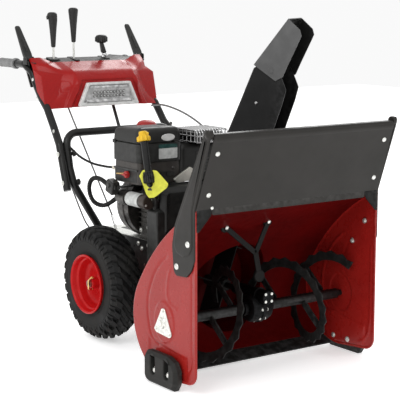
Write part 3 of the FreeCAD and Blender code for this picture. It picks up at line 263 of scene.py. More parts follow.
def moulded(name, slot, colour, shade, rough, grain=0.22, scale=1400, gloss=0.3):
    """Moulded plastic: fine spark-eroded grain with scuffs that catch the light."""
    made = Finish(name, slot)
    scuff = made.noise(24, 6)
    tone = made.blend(made.ramp(scuff, 0.4, 0.7), colour, shade)
    # Raised edges turn paler: partly wear, partly a painted highlight.
    made.colour(made.blend(made.edge_wear_and_highlight(0.54, 0.66), tone, tuple(min(1, c * 1.8 + 0.02) for c in shade)))
    made.rough(scuff, *rough)
    made.bump(made.noise(scale, 2), grain, 0.0003)
    made.set(Specular_IOR_Level=gloss)
    return made


def metal(name, slot, colour, shade, rough, scale=90, relief=0.15, stretch=(1, 1, 1)):
    """Bare or plated metal: cloudy tone, brushed or cast relief."""
    made = Finish(name, slot)
    cloud = made.noise(scale, 4, stretch)
    made.colour(made.blend(made.ramp(cloud, 0.35, 0.65), colour, shade))
    made.rough(cloud, *rough)
    made.bump(made.noise(scale * 6, 3, stretch), relief, 0.0004)
    made.set(Metallic=1.0)
    return made


def plated():
    """Zinc plate with its small crystal spangle."""
    made = Finish("zinc_plate", "zinc")
    cells = made.node("ShaderNodeTexVoronoi")
    cells.inputs["Scale"].default_value = 160
    made.link(made.coords, cells.inputs["Vector"])
    split = made.node("ShaderNodeSeparateColor")
    made.link(cells.outputs["Color"], split.inputs["Color"])
    grey = split.outputs[0]
    made.colour(made.blend(grey, (0.80, 0.80, 0.76), (0.62, 0.63, 0.60)))
    made.link(made.ramp(grey, 0, 1, 0.26, 0.42), made.shader.inputs["Roughness"])
    made.bump(made.noise(500, 3), 0.12, 0.0003)
    made.set(Metallic=0.85)
    return made


def tyre_rubber():
    """Tyre compound: dull black with a dusty bloom and fine mould marks."""
    made = Finish("tyre_rubber", "tyre_rubber")
    dust = made.noise(14, 6)
    made.colour(made.blend(made.ramp(dust, 0.45, 0.75), (0.008, 0.008, 0.008), (0.024, 0.023, 0.021)))
    made.rough(dust, 0.55, 0.85)
    made.set(Specular_IOR_Level=0.18)
    made.bump(made.noise(900, 3), 0.3, 0.0005)
    return made


def finishes():
    """Every material by name."""
    return {
        "red": paint("red_enamel", "red_paint", (0.30, 0.013, 0.010), (0.26, 0.010, 0.008), (0.24, 0.34),
                     0.06, (0.50, 0.10, 0.08), 0.26),
        "red_deep": paint("red_enamel_deep", "red_paint", (0.30, 0.009, 0.008), (0.25, 0.007, 0.007),
                          (0.22, 0.32), 0.03, (0.45, 0.08, 0.07), 0.14),
        "red_rim": paint("red_enamel_rim", "red_paint", (0.46, 0.008, 0.009), (0.40, 0.006, 0.007),
                         (0.22, 0.32), 0.03, (0.5, 0.08, 0.07), 0.14),
        # A darker copy of the red enamel for the housing's inside: painted shade.
        "red_shaded": paint("red_enamel_painted_shade", "red_paint", (0.085, 0.0015, 0.0015), (0.06, 0.0015, 0.0015),
                          (0.36, 0.48), 0.0, (0.09, 0.003, 0.003), 0.05),
        "black_sheet": paint("black_enamel", "black_paint", (0.016, 0.015, 0.013), (0.021, 0.019, 0.017),
                             (0.38, 0.5), 0.02, (0.05, 0.047, 0.044), 0.2),
        "black_tube": paint("black_powder_coat", "black_paint", (0.008, 0.008, 0.008),
                            (0.012, 0.012, 0.011), (0.26, 0.36), 0.06, (0.05, 0.05, 0.05), 0.22),
        # A darker copy of the black enamel for the gussets, the cap's inside, the hood brace and the parts in
        # the mouth: painted shade.
        "black_shaded": paint("black_enamel_painted_shade", "black_paint", (0.006, 0.006, 0.006),
                              (0.010, 0.010, 0.009), (0.4, 0.55), 0.0, (0.03, 0.03, 0.03), 0.1),
        "black": moulded("black_plastic", "black_plastic", (0.012, 0.012, 0.011), (0.020, 0.020, 0.019),
                         (0.36, 0.52)),
        "chute": moulded("chute_plastic", "black_plastic", (0.006, 0.006, 0.006), (0.010, 0.010, 0.010),
                         (0.38, 0.5), 0.12, 700, 0.15),
        "cap_grey": moulded("deflector_plastic", "black_plastic", (0.070, 0.070, 0.070),
                            (0.090, 0.090, 0.090), (0.45, 0.6), 0.12, 700),
        "rubber": moulded("rubber", "rubber", (0.010, 0.010, 0.010), (0.018, 0.018, 0.017), (0.55, 0.7),
                          0.35, 900, 0.2),
        "shoe": moulded("shoe_rubber", "rubber", (0.012, 0.012, 0.011), (0.024, 0.023, 0.021), (0.5, 0.65),
                        0.35, 900, 0.2),
        "tyre": tyre_rubber(),
        "grip": moulded("grip_rubber", "rubber", (0.16, 0.16, 0.16), (0.24, 0.24, 0.24), (0.55, 0.7), 0.4,
                        1100),
        "red_plastic": moulded("red_plastic", "red_plastic", (0.34, 0.02, 0.018), (0.28, 0.014, 0.014),
                               (0.3, 0.42), 0.1),
        "yellow": moulded("yellow_plastic", "yellow_plastic", (0.74, 0.46, 0.02), (0.62, 0.36, 0.015),
                          (0.34, 0.46), 0.1),
        "tag": moulded("tag_plastic", "yellow_plastic", (0.62, 0.62, 0.05), (0.50, 0.50, 0.04), (0.4, 0.5),
                       0.1),
        "cream": moulded("cream_plastic", "grey_plastic", (0.62, 0.58, 0.48), (0.5, 0.46, 0.38), (0.4, 0.5)),
        "grey": moulded("grey_plastic", "grey_plastic", (0.10, 0.10, 0.10), (0.15, 0.145, 0.14), (0.35, 0.5)),
        "grey_dark": moulded("dark_grey_plastic", "grey_plastic", (0.030, 0.026, 0.023),
                             (0.045, 0.040, 0.036), (0.38, 0.5)),
        "brown": moulded("starter_cap", "grey_plastic", (0.030, 0.022, 0.018), (0.045, 0.034, 0.028),
                         (0.35, 0.5)),
        "grey_metal": metal("grey_metal", "cast_aluminium", (0.10, 0.095, 0.09), (0.06, 0.058, 0.055),
                            (0.34, 0.48), 70, 0.15),
        "silver_dull": moulded("dull_silver_plastic", "silver_plastic", (0.30, 0.30, 0.30),
                               (0.38, 0.38, 0.38), (0.34, 0.46), 0.12),
        "silver": moulded("silver_plastic", "silver_plastic", (0.50, 0.50, 0.49), (0.60, 0.60, 0.59),
                          (0.22, 0.34), 0.05),
        "label": moulded("blank_label", "silver_plastic", (0.44, 0.45, 0.44), (0.36, 0.37, 0.36),
                         (0.3, 0.4), 0.04),
        "label_band": moulded("label_band", "grey_plastic", (0.010, 0.04, 0.036), (0.014, 0.05, 0.044),
                              (0.3, 0.4), 0.04),
        "zinc": plated(),
        "steel": metal("steel", "steel", (0.42, 0.42, 0.42), (0.30, 0.295, 0.29), (0.3, 0.45)),
        "dark_steel": metal("dark_steel", "steel", (0.05, 0.05, 0.05), (0.03, 0.03, 0.029), (0.4, 0.55)),
        "chrome": metal("chrome_wire", "chrome_wire", (0.55, 0.55, 0.55), (0.40, 0.40, 0.40), (0.08, 0.18),
                        60, 0.05),
        "cast": metal("cast_aluminium", "cast_aluminium", (0.16, 0.155, 0.145), (0.09, 0.088, 0.082),
                      (0.45, 0.62), 120, 0.45),
        "iron": metal("cast_iron", "cast_iron", (0.016, 0.016, 0.017), (0.010, 0.010, 0.010), (0.45, 0.65),
                      140, 0.5),
        "beige": metal("heat_shield", "steel", (0.74, 0.73, 0.66), (0.60, 0.59, 0.53), (0.38, 0.5), 50, 0.2),
        "brass": metal("brass", "bronze", (0.80, 0.58, 0.24), (0.66, 0.45, 0.18), (0.22, 0.36)),
    }


FINISH = finishes()


# ---------------------------------------------------------------- shapes: (points, faces)
def joined(*shapes):
    """Several shapes as one."""
    points, faces = [], []
    for more_points, more_faces in shapes:
        start = len(points)
        points = points + list(more_points)
        faces = faces + [[start + i for i in face] for face in more_faces]
    return points, faces


def loft(rings, closed=False):
    """Skin over rings of equal length, capped at both ends unless the last meets the first."""
    count = len(rings[0])
    points = [p for ring in rings for p in ring]
    faces = []
    spans = len(rings) if closed else len(rings) - 1
    for span in range(spans):
        here = span * count
        there = (span + 1) % len(rings) * count
        for i in range(count):
            j = (i + 1) % count
            faces.append([here + i, here + j, there + j, there + i])
    if not closed:
        faces.append(list(range(count))[::-1])
        faces.append([len(points) - count + i for i in range(count)])
    return points, faces


def on_plane(axis, value, a, b):
    """The point whose axis coordinate is value and whose other two are a and b."""
    return {"x": (value, a, b), "y": (a, value, b), "z": (a, b, value)}[axis]


def prism(outline, axis, low, high):
    """A flat outline pulled along an axis."""
    return loft([[on_plane(axis, v, a, b) for a, b in outline] for v in (low, high)])


def block(x0, x1, y0, y1, z0, z1):
    """A box between two corners."""
    return prism([(x0, y0), (x1, y0), (x1, y1), (x0, y1)], "z", z0, z1)


def lathe(outline, origin, direction, steps=48):
    """A closed outline of (along, radius) pairs turned about a line."""
    origin = Vector(origin)
    direction = Vector(direction).normalized()
    side = direction.orthogonal().normalized()
    up = direction.cross(side)
    rings = []
    for step in range(steps):
        turn = 2 * math.pi * step / steps
        away = side * math.cos(turn) + up * math.sin(turn)
        rings.append([tuple(origin + direction * a + away * r) for a, r in outline])
    return loft(rings, closed=True)


def disc(start, end, radius, edge=1.0, steps=40):
    """A short round bar with softened rims."""
    along = Vector(end) - Vector(start)
    length = along.length
    outline = [(0, 0), (0, radius - edge), (edge * 0.3, radius - edge * 0.3), (edge, radius),
               (length - edge, radius), (length - edge * 0.3, radius - edge * 0.3),
               (length, radius - edge), (length, 0)]
    return lathe(outline, start, along, steps)


def route(points, bend, steps=6):
    """Straight runs joined by arcs, as a list of points."""
    corners = [Vector(p) for p in points]
    line = [corners[0]]
    for before, corner, after in zip(corners, corners[1:], corners[2:]):
        back = (before - corner).normalized()
        ahead = (after - corner).normalized()
        half = (math.pi - back.angle(ahead)) / 2
        if half < 0.01:
            line.append(corner)
            continue
        centre = corner + (back + ahead).normalized() * (bend / math.cos(half))
        first = corner + back * (bend * math.tan(half)) - centre
        last = corner + ahead * (bend * math.tan(half)) - centre
        turn = first.angle(last)
        axis = first.cross(last)
        for step in range(steps + 1):
            line.append(centre + Matrix.Rotation(turn * step / steps, 3, axis) @ first)
    line.append(corners[-1])
    return line


def sweep(line, radius, sides=18):
    """A round bar along a line of points; the radius is a number or one per point."""
    radii = radius if isinstance(radius, list) else [radius] * len(line)
    rings = []
    side = None
    for i, point in enumerate(line):
        along = (line[min(i + 1, len(line) - 1)] - line[max(i - 1, 0)]).normalized()
        if side is None:
            side = along.orthogonal()
        side = (side - along * side.dot(along)).normalized()
        up = along.cross(side)
        ring = []
        for step in range(sides):
            turn = 2 * math.pi * step / sides
            ring.append(tuple(point + (side * math.cos(turn) + up * math.sin(turn)) * radii[i]))
        rings.append(ring)
    return loft(rings)


def tube(points, radius, bend, sides=18):
    """A round bar that follows straight runs with bends between them."""
    return sweep(route(points, bend), radius, sides)


def rounded(outline, radius, steps=5):
    """A closed flat outline with arcs in place of its corners; one radius or one per corner."""
    radii = radius if isinstance(radius, list) else [radius] * len(outline)
    made = []
    for i, corner in enumerate(outline):
        corner = Vector(corner)
        back = Vector(outline[i - 1]) - corner
        ahead = Vector(outline[(i + 1) % len(outline)]) - corner
        half = (math.pi - back.angle(ahead)) / 2
        trim = min(radii[i] * math.tan(half), back.length * 0.48, ahead.length * 0.48)
        if trim < 0.05 or half < 0.02:
            made.append(tuple(corner))
            continue
        back.normalize()
        ahead.normalize()
        centre = corner + (back + ahead).normalized() * (trim / math.sin(half))
        first = corner + back * trim - centre
        last = corner + ahead * trim - centre
        start = math.atan2(first.y, first.x)
        turn = (math.atan2(last.y, last.x) - start + math.pi) % (2 * math.pi) - math.pi
        for step in range(steps + 1):
            angle = start + turn * step / steps
            made.append((centre.x + first.length * math.cos(angle),
                         centre.y + first.length * math.sin(angle)))
    return made


def inset(outline, distance):
    """A closed flat outline moved inwards, or outwards if the distance is negative."""
    area = sum(a[0] * b[1] - b[0] * a[1] for a, b in zip(outline, outline[1:] + outline[:1]))
    hand = 1 if area > 0 else -1
    made = []
    for i, corner in enumerate(outline):
        corner = Vector(corner)
        before = (corner - Vector(outline[i - 1])).normalized()
        after = (Vector(outline[(i + 1) % len(outline)]) - corner).normalized()
        first = Vector((-before.y, before.x)) * hand
        second = Vector((-after.y, after.x)) * hand
        middle = (first + second).normalized()
        made.append(tuple(corner + middle * (distance / max(0.4, middle.dot(first)))))
    return made


def dish(outline, axis, levels):
    """A solid skinned over one outline at several (height, inset) levels."""
    rings = []
    for height, distance in levels:
        ring = inset(outline, distance) if distance else outline
        rings.append([on_plane(axis, height, a, b) for a, b in ring])
    return loft(rings)


def bolt(at, direction, radius):
    """A hexagon head on its washer."""
    washer = lathe([(0, 0), (0, radius * 1.35), (1.6, radius * 1.35), (1.6, 0)], at, direction, 28)
    head = lathe([(1.5, 0), (1.5, radius), (radius * 0.7, radius), (radius * 0.85, radius * 0.82),
                  (radius * 0.85, 0)], at, direction, 6)
    return joined(washer, head)


def dome_bolt(at, direction, radius):
    """A round-headed carriage bolt."""
    outline = [(0, 0), (0, radius)]
    outline += [(radius * 0.5 * math.sin(a), radius * math.cos(a)) for a in (0.3, 0.7, 1.1, 1.4)]
    outline.append((radius * 0.5, 0))
    return lathe(outline, at, direction, 28)


def moved(shape, matrix, pivot=(0, 0, 0)):
    """A shape turned or stretched by a matrix about a pivot."""
    pivot = Vector(pivot)
    points, faces = shape
    return [tuple(matrix @ (Vector(p) - pivot) + pivot) for p in points], faces


def piece(name, shape, finish, body, stands_for=(), soften=0.0, steps=3, sharp=34.0):
    """A mesh object from a shape, with softened edges, that rides on a body."""
    points, faces = shape
    mesh = bpy.data.meshes.new(name)
    mesh.from_pydata([place(p) for p in points], [], faces)
    work = bmesh.new()
    work.from_mesh(mesh)
    bmesh.ops.remove_doubles(work, verts=work.verts, dist=1e-5)
    bmesh.ops.dissolve_degenerate(work, edges=work.edges, dist=1e-6)
    bmesh.ops.recalc_face_normals(work, faces=work.faces)
    if soften:
        hard = [e for e in work.edges if len(e.link_faces) == 2 and e.calc_face_angle(0) > math.radians(30)]
        bmesh.ops.bevel(work, geom=hard, offset=soften / 1000, segments=steps, profile=0.5,
                        affect="EDGES", clamp_overlap=True)
    for face in work.faces:
        face.smooth = True
    work.to_mesh(mesh)
    work.free()
    mesh.set_sharp_from_angle(angle=math.radians(sharp))
    obj = bpy.data.objects.new(name, mesh)
    bpy.context.scene.collection.objects.link(obj)
    mesh.materials.append(FINISH[finish].material)
    obj.modifiers.new("normals", "WEIGHTED_NORMAL").keep_sharp = True
    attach(obj, body)
    if stands_for:
        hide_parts(*stands_for)
    return obj


def dress(finish, *nodes):
    """Give CAD nodes a material."""
    for node in nodes:
        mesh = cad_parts[node].data
        mesh.materials.clear()
        mesh.materials.append(FINISH[finish].material)


# ---------------------------------------------------------------- auger housing
def arc(centre, radius, first, last, steps):
    """Points on an arc in the side view; degrees from the rear, upwards."""
    made = []
    for step in range(steps + 1):
        angle = math.radians(first + (last - first) * step / steps)
        made.append((centre[0] + radius * math.cos(angle), centre[1] + radius * math.sin(angle)))
    return made


def hood_curve(steps=24):
    """The hood's curve in the side view, from the barrel up to the mouth."""
    start = math.radians(HOOD_START)
    reach = BARREL_R - HOOD_R
    centre = (AUGER_Y + reach * math.cos(start), AUGER_Z + reach * math.sin(start))
    end = math.degrees(math.acos((MOUTH_Y - centre[0]) / HOOD_R))
    return arc(centre, HOOD_R, HOOD_START, end, steps)


def smooth(value, low, high):
    """0 below low, 1 above high, and an even S curve between."""
    share = min(1.0, max(0.0, (value - low) / (high - low)))
    return share * share * (3 - 2 * share)


def off_line(y, z, line):
    """Distance from a point to a run of points in the side view."""
    spot = Vector((y, z))
    best = 1e9
    for a, b in zip(line, line[1:]):
        start, run = Vector(a), Vector(b) - Vector(a)
        share = max(0.0, min(1.0, (spot - start).dot(run) / run.dot(run)))
        best = min(best, (spot - start - run * share).length)
    return best


def plate_relief(y, z):
    """How far the pressed shapes stand out of a side plate."""
    rear = math.exp(-(off_line(y, z, REAR_CREASE) / 5.0) ** 2)
    front = math.exp(-(off_line(y, z, FRONT_CREASE) / 4.0) ** 2)
    edge = math.exp(-(off_line(y, z, EDGE_GROOVE) / 5.0) ** 2)
    oval = math.hypot((y - AUGER_Y + 4) / 52, (z - AUGER_Z - 3) / 62)
    boss = smooth(oval, 1.12, 0.98)
    groove_z = 128 - 0.12 * (-520 - y)
    shoe = smooth(z, groove_z + 5, groove_z - 3) * smooth(y, -716, -708) * smooth(y, -500, -508)
    return -2.6 * rear + 1.8 * front - 1.8 * edge + 2.6 * boss - 3.0 * shoe


def side_plate(side):
    """Pressed side plate: crescent, bearing recess, step over the shoe and rolled edges."""
    outline = arc((AUGER_Y, AUGER_Z), BARREL_R, -90, HOOD_START, 44) + hood_curve(30)[1:]
    outline += [(MOUTH_Y, z) for z in range(int(MOUTH_TOP) - 12, 71, -12)]
    outline += arc((MOUTH_Y + CORNER_R, 28 + CORNER_R), CORNER_R, 180, 270, 10)
    outline += [(-716 + 131 * s / 11, 28 - 11 * s / 11) for s in range(1, 11)]
    flat = inset(outline, 7)
    centre = (AUGER_Y, AUGER_Z)
    rings = []
    levels = [0.02] + [i / 84 for i in range(3, 85)]

    def ring(share, sink):
        """One ring of the plate's face, from the axle outwards."""
        made = []
        for y, z in flat:
            py = centre[0] + (y - centre[0]) * share
            pz = centre[1] + (z - centre[1]) * share
            edge = smooth(share, 1.0, 0.985)
            made.append((side * (HALF_WIDTH + plate_relief(py, pz) * edge - sink), py, pz))
        return made

    def rim(distance, sink):
        """One ring of the rolled edge."""
        return [(side * (HALF_WIDTH - sink), y, z) for y, z in inset(outline, distance)]

    rings = [ring(s, 0) for s in levels]
    rings += [rim(4.2, 0.5), rim(1.8, 1.6), rim(0.2, 3.4), rim(0.0, 5.5), rim(2.6, 5.5)]
    rings += [ring(s, 2.8) for s in reversed(levels)]
    name = "plate_right" if side < 0 else "plate_left"
    node = "side_plate_right" if side < 0 else "side_plate_left"
    piece(name, loft(rings), "red", "chassis", [node], sharp=50)


def front_flange(side):
    """Rolled flange round the front and lower corner of a side plate."""
    corner = arc((MOUTH_Y + CORNER_R, 28 + CORNER_R), CORNER_R, 180, 266, 14)
    path = [(MOUTH_Y, MOUTH_TOP - 6), (MOUTH_Y, 300)] + corner + [(-600, 18)]
    rings = []
    for i, (y, z) in enumerate(path):
        before = Vector(path[max(i - 1, 0)])
        after = Vector(path[min(i + 1, len(path) - 1)])
        along = (after - before).normalized()
        inward = Vector((-along.y, along.x))
        section = [(HALF_WIDTH + 0.6, 7), (HALF_WIDTH + 1.8, 4.6), (HALF_WIDTH + 1.4, 1.8),
                   (HALF_WIDTH - 0.6, 0.2), (HALF_WIDTH - 3, 0), (HALF_WIDTH - 5.4, 1.6),
                   (HALF_WIDTH - 5.8, 4.4), (HALF_WIDTH - 4.6, 7)]
        rings.append([(side * x, y + inward.x * d, z + inward.y * d) for x, d in section])
    piece("flange_right" if side < 0 else "flange_left", loft(rings), "red", "chassis", sharp=40)


def corner_triangle(side):
    """Zinc plate that carries the auger axle, with its three bolts and the bearing's cap."""
    corners = [(AUGER_Y - 6, AUGER_Z + 60), (AUGER_Y + 50, AUGER_Z - 34), (AUGER_Y - 58, AUGER_Z - 42)]
    outline = rounded(corners, 12)
    x = side * (HALF_WIDTH + 2.8)
    plate = dish(outline, "x", [(x, 0), (x + side * 2.4, 0), (x + side * 3.4, 1.0)])
    cap = lathe([(0, 0), (0, 19), (3, 19), (5, 17), (8, 16), (9, 13), (9, 0)], (x, AUGER_Y, AUGER_Z),
                (side, 0, 0), 40)
    end = lathe([(0, 0), (0, 10), (12.5, 10), (13.5, 9), (13.5, 0)], (x, AUGER_Y, AUGER_Z), (side, 0, 0), 28)
    bolts = [bolt((x + side * 3.2, AUGER_Y + (y - AUGER_Y) * 0.66, AUGER_Z + (z - AUGER_Z) * 0.66),
                  (side, 0, 0), 5) for y, z in corners]
    return joined(plate, cap, end, *bolts)


def side_arm(side):
    """Pressed arm that carries the panel's end: a raised pad inside a flat rim."""
    outline = [(-834, 811), (-812, 811), (-799, 784), (-655, 514), (-640, 448), (-649, 370), (-661, 358),
               (-716, 361), (-742, 385), (-757, 415), (-757, 568), (-833, 783), (-838, 803)]
    radii = [4, 6, 30, 60, 50, 14, 10, 16, 30, 20, 20, 20, 6]
    pad = [(-822, 788), (-806, 774), (-664, 508), (-651, 450), (-668, 428), (-700, 420), (-731, 430),
           (-748, 452), (-748, 569)]
    face = side * HALF_WIDTH
    plate = dish(rounded(outline, radii), "x", [(face, 0), (face + side * 4.4, 0), (face + side * 5.4, 1.0)])
    raised = dish(rounded(pad, [10, 14, 60, 40, 22, 26, 22, 30, 30]), "x",
                  [(face + side * 5, -2), (face + side * 5.6, 0), (face + side * 7.2, 1.2),
                   (face + side * 7.9, 3.4), (face + side * 8, 6)])
    knuckle = lathe([(0, 0), (0, 14.5), (8, 15), (13, 13.5), (16, 10), (17.5, 5), (18, 0)],
                    (side * (HALF_WIDTH - 8), -823, 798), (side, 0, 0), 32)
    return joined(plate, raised, knuckle)


PANEL_RISE, PANEL_SLOPE = 236.0, math.atan2(79, 222)


def on_panel(x, up, out=0.0):
    """A point on the panel's front face by its height up the panel, or a little in front of it."""
    y = MOUTH_Y - 2 - up * math.sin(PANEL_SLOPE) - out * math.cos(PANEL_SLOPE)
    return (x, y, MOUTH_TOP + up * math.cos(PANEL_SLOPE) - out * math.sin(PANEL_SLOPE))


def front_panel():
    """Leaning panel with a rolled top edge, a folded skirt and two corner gussets."""
    profile = [on_panel(0, up) for up in (0, 3, 80, 160, 216)]
    profile += [on_panel(0, 221, 1.6), on_panel(0, 228, 2.4), on_panel(0, 235, 0.2)]
    top = on_panel(0, PANEL_RISE)
    profile += [(0, top[1] + 3, top[2] + 5), (0, top[1] + 9, top[2] + 8.6), (0, top[1] + 32, top[2] + 9)]
    profile += [(0, top[1] + 32, top[2] + 7), (0, top[1] + 10, top[2] + 6.6), (0, top[1] + 6, top[2] + 3)]
    profile += [on_panel(0, up, -2.2) for up in (230, 160, 80, 3)]
    profile += [(0, MOUTH_Y, MOUTH_TOP)]
    rings = []
    for share in [i / 12 for i in range(-12, 13)]:
        rings.append([((HALF_WIDTH - 9 * max(0, z - MOUTH_TOP) / 222) * share, y, z) for _, y, z in profile])
    skirt = dish(rounded([(-302, MOUTH_TOP - 19), (302, MOUTH_TOP - 19), (302, MOUTH_TOP + 4),
                          (-302, MOUTH_TOP + 4)], [6, 6, 0, 0]), "y",
                 [(MOUTH_Y - 2, 0), (MOUTH_Y - 0.5, 0)])
    gussets = []
    for side in SIDES:
        corner = [(side * (HALF_WIDTH - 3), MOUTH_TOP), (side * 300, MOUTH_TOP), (side * 306, MOUTH_TOP - 20),
                  (side * 350, MOUTH_TOP - 66), (side * (HALF_WIDTH - 3), MOUTH_TOP - 66)]
        gussets.append(prism(rounded(corner, [0, 4, 8, 6, 0]), "y", MOUTH_Y - 2.5, MOUTH_Y - 0.5))
    roll_y, roll_z = top[1] + 8.2, top[2] + 1.5
    reach = HALF_WIDTH - 12
    roll = sweep([Vector((reach * i / 8, roll_y, roll_z)) for i in range(-8, 9)], 8.0, 20)
    piece("panel", joined(loft(rings), roll), "black_sheet", "chassis", ["front_panel"], sharp=30)
    piece("panel_skirt", skirt, "black_sheet", "chassis", sharp=30)
    # The gussets take the darker black copy: painted shade.
    piece("panel_gussets", joined(*gussets), "black_shaded", "chassis", sharp=30)


def housing_fasteners():
    """Zinc bolts of the housing: arms, panel, skid shoes, hood brace and side plates."""
    made = []
    for side in SIDES:
        made.append(dome_bolt((side * (HALF_WIDTH + 8), -727, 463), (side, 0, 0), 10))
        made.append(dome_bolt((side * (HALF_WIDTH + 5.4), -665, 386), (side, 0, 0), 10))
        lean = Vector(on_panel(0, 0, 1)) - Vector(on_panel(0, 0))
        for up in (48, 182):
            made.append(dome_bolt(on_panel(side * 326, up), lean, 8))
        for y, z in ((-568, 43.5), (-642, 43.5)):
            made.append(bolt((side * 378.5, y, z), (side, 0, 0), 8))
        for y, z in ((-706, 460), (-647, 384), (-632, 42), (-560, 42)):
            made.append(bolt((side * (HALF_WIDTH - 5), y, z), (-side, 0, 0), 7))
    made.append(dome_bolt(on_panel(-303, 4), Vector((0, -1, 0)), 5.5))
    made += [dome_bolt((x, -608, z), (0, -1, -0.3), 7) for x, z in BRACE_BOLTS]
    piece("housing_screws", joined(*made), "zinc", "chassis", ["housing_bolts"], sharp=40)


def holed(outline, holes, axis, levels, hole_levels):
    """A flat solid with holes; each level is a (height, inset) pair, insets opening the holes."""
    shapes = []
    rims = []
    for loop, steps, hand in [(outline, levels, 1)] + [(h, hole_levels, -1) for h in holes]:
        rings = []
        for height, distance in steps:
            ring = inset(loop, distance * hand) if distance else loop
            rings.append([on_plane(axis, height, a, b) for a, b in ring])
        points, faces = loft(rings)
        shapes.append((points, faces[:-2]))
        rims.append((inset(loop, steps[0][1] * hand) if steps[0][1] else loop,
                     inset(loop, steps[-1][1] * hand) if steps[-1][1] else loop))
    for end in (0, 1):
        height = levels[-end][0]
        loops = [[Vector((a, b, 0)) for a, b in rim[end]] for rim in rims]
        flat = [on_plane(axis, height, p.x, p.y) for loop in loops for p in loop]
        shapes.append((flat, [list(t) for t in tessellate_polygon(loops)]))
    return joined(*shapes)


def slot_outline(y, low, high, radius, steps=8):
    """A round-ended upright slot."""
    top = [(y + radius * math.cos(math.pi * s / steps), high + radius * math.sin(math.pi * s / steps))
           for s in range(steps + 1)]
    foot = [(y - radius * math.cos(math.pi * s / steps), low - radius * math.sin(math.pi * s / steps))
            for s in range(steps + 1)]
    return top + foot


def skid_shoe(side):
    """Thick shoe with bevelled edges, two deep slots and a floor in each slot."""
    outline = rounded([(-522, 6), (-514, 22), (-514, 84), (-528, 102), (-640, 102), (-676, 90), (-692, 66),
                       (-692, 24), (-676, 0), (-532, 0)], [8, 6, 10, 8, 14, 14, 14, 14, 8, 8])
    slots = [slot_outline(y, 43.5, 82, 12) for y in (-568, -642)]
    body = holed(outline, slots, "x", [(side * 366, 0), (side * 380, 0), (side * 382, 1.0), (side * 392, 11)],
                 [(side * 366, 0), (side * 388, 0), (side * 390, 0.9), (side * 392, 3.2)])
    floor = holed(inset(outline, 6), [slot_outline(y, 43.5, 82, 6) for y in (-568, -642)], "x",
                  [(side * 364, 0), (side * 373, 0)], [(side * 364, 0), (side * 373, 0)])
    name = "skid_right" if side < 0 else "skid_left"
    node = "skid_shoe_right" if side < 0 else "skid_shoe_left"
    piece(name + "_shoe", joined(body, floor), "shoe", name, [node], sharp=40)


def gear_case():
    """Two cast halves bolted round the worm wheel, with the worm's tube on top."""
    case = lathe([(-44, 0), (-44, 22), (-56, 22), (-57, 20), (-57, 11), (-60, 11), (-60, 0)],
                 (0, AUGER_Y, AUGER_Z), (1, 0, 0), 40)
    drum = lathe([(-43, 0), (-43, 30), (-38, 41), (-26, 46), (-7, 47), (-6, 50), (6, 50), (7, 47), (26, 46),
                  (38, 41), (43, 30), (43, 0)], (0, AUGER_Y, AUGER_Z), (1, 0, 0), 56)
    nose = lathe([(43, 0), (43, 22), (56, 22), (57, 20), (57, 0)], (0, AUGER_Y, AUGER_Z), (1, 0, 0), 40)
    worm = lathe([(0, 0), (0, 20), (3, 22), (44, 22), (44, 26), (52, 26), (52, 22), (156, 22), (158, 17),
                  (178, 17), (180, 15), (180, 0)], (0, -650, IMPELLER_Z), (0, 1, 0), 40)
    ribs = []
    for turn in range(0, 360, 45):
        away = Vector((0, math.cos(math.radians(turn)), math.sin(math.radians(turn))))
        foot = Vector((0, AUGER_Y, AUGER_Z)) + away * 44
        ribs.append(lathe([(-9, 0), (-9, 6), (9, 6), (9, 0)], foot, (1, 0, 0), 16))
    piece("gear_case", joined(case, drum, nose, worm, *ribs), "iron", "chassis", ["auger_gear_case"],
          soften=0.8, steps=2)
    heads = []
    for turn in range(0, 360, 45):
        away = Vector((0, math.cos(math.radians(turn)), math.sin(math.radians(turn))))
        foot = Vector((0, AUGER_Y, AUGER_Z)) + away * 44
        for side in SIDES:
            heads.append(bolt(foot + Vector((side * 9, 0, 0)), (side, 0, 0), 5))
    for turn in (45, 135, 225, 315):
        x = 17 * math.cos(math.radians(turn))
        z = 17 * math.sin(math.radians(turn))
        heads.append(bolt((x, -650, IMPELLER_Z + z), (0, -1, 0), 3.4))
    piece("gear_case_screws", joined(*heads), "zinc", "chassis", sharp=40)


# ---------------------------------------------------------------- wheels
def lug(x0, x1, turn, spread, low, high, skew=0.0):
    """A tapered tread block between two x positions, centred on an angle about the axle.

    low and high give the radius under and on top of the block at each of its two ends.
    """
    rings = []
    for share, grow in ((0.0, 1.25), (0.75, 1.02), (1.0, 0.84)):
        ring = []
        for x, ends, angle in ((x0, 0, turn - skew), (x1, 1, turn + skew)):
            radius = low[ends] + (high[ends] - low[ends]) * share
            for hand in ((-1, 1) if ends == 0 else (1, -1)):
                a = angle + hand * spread * grow / 2
                away = (1 - grow) * 3 * (1 if ends == 0 else -1)
                ring.append((x + away, radius * math.cos(a), 200 + radius * math.sin(a)))
        rings.append(ring)
    return loft(rings)


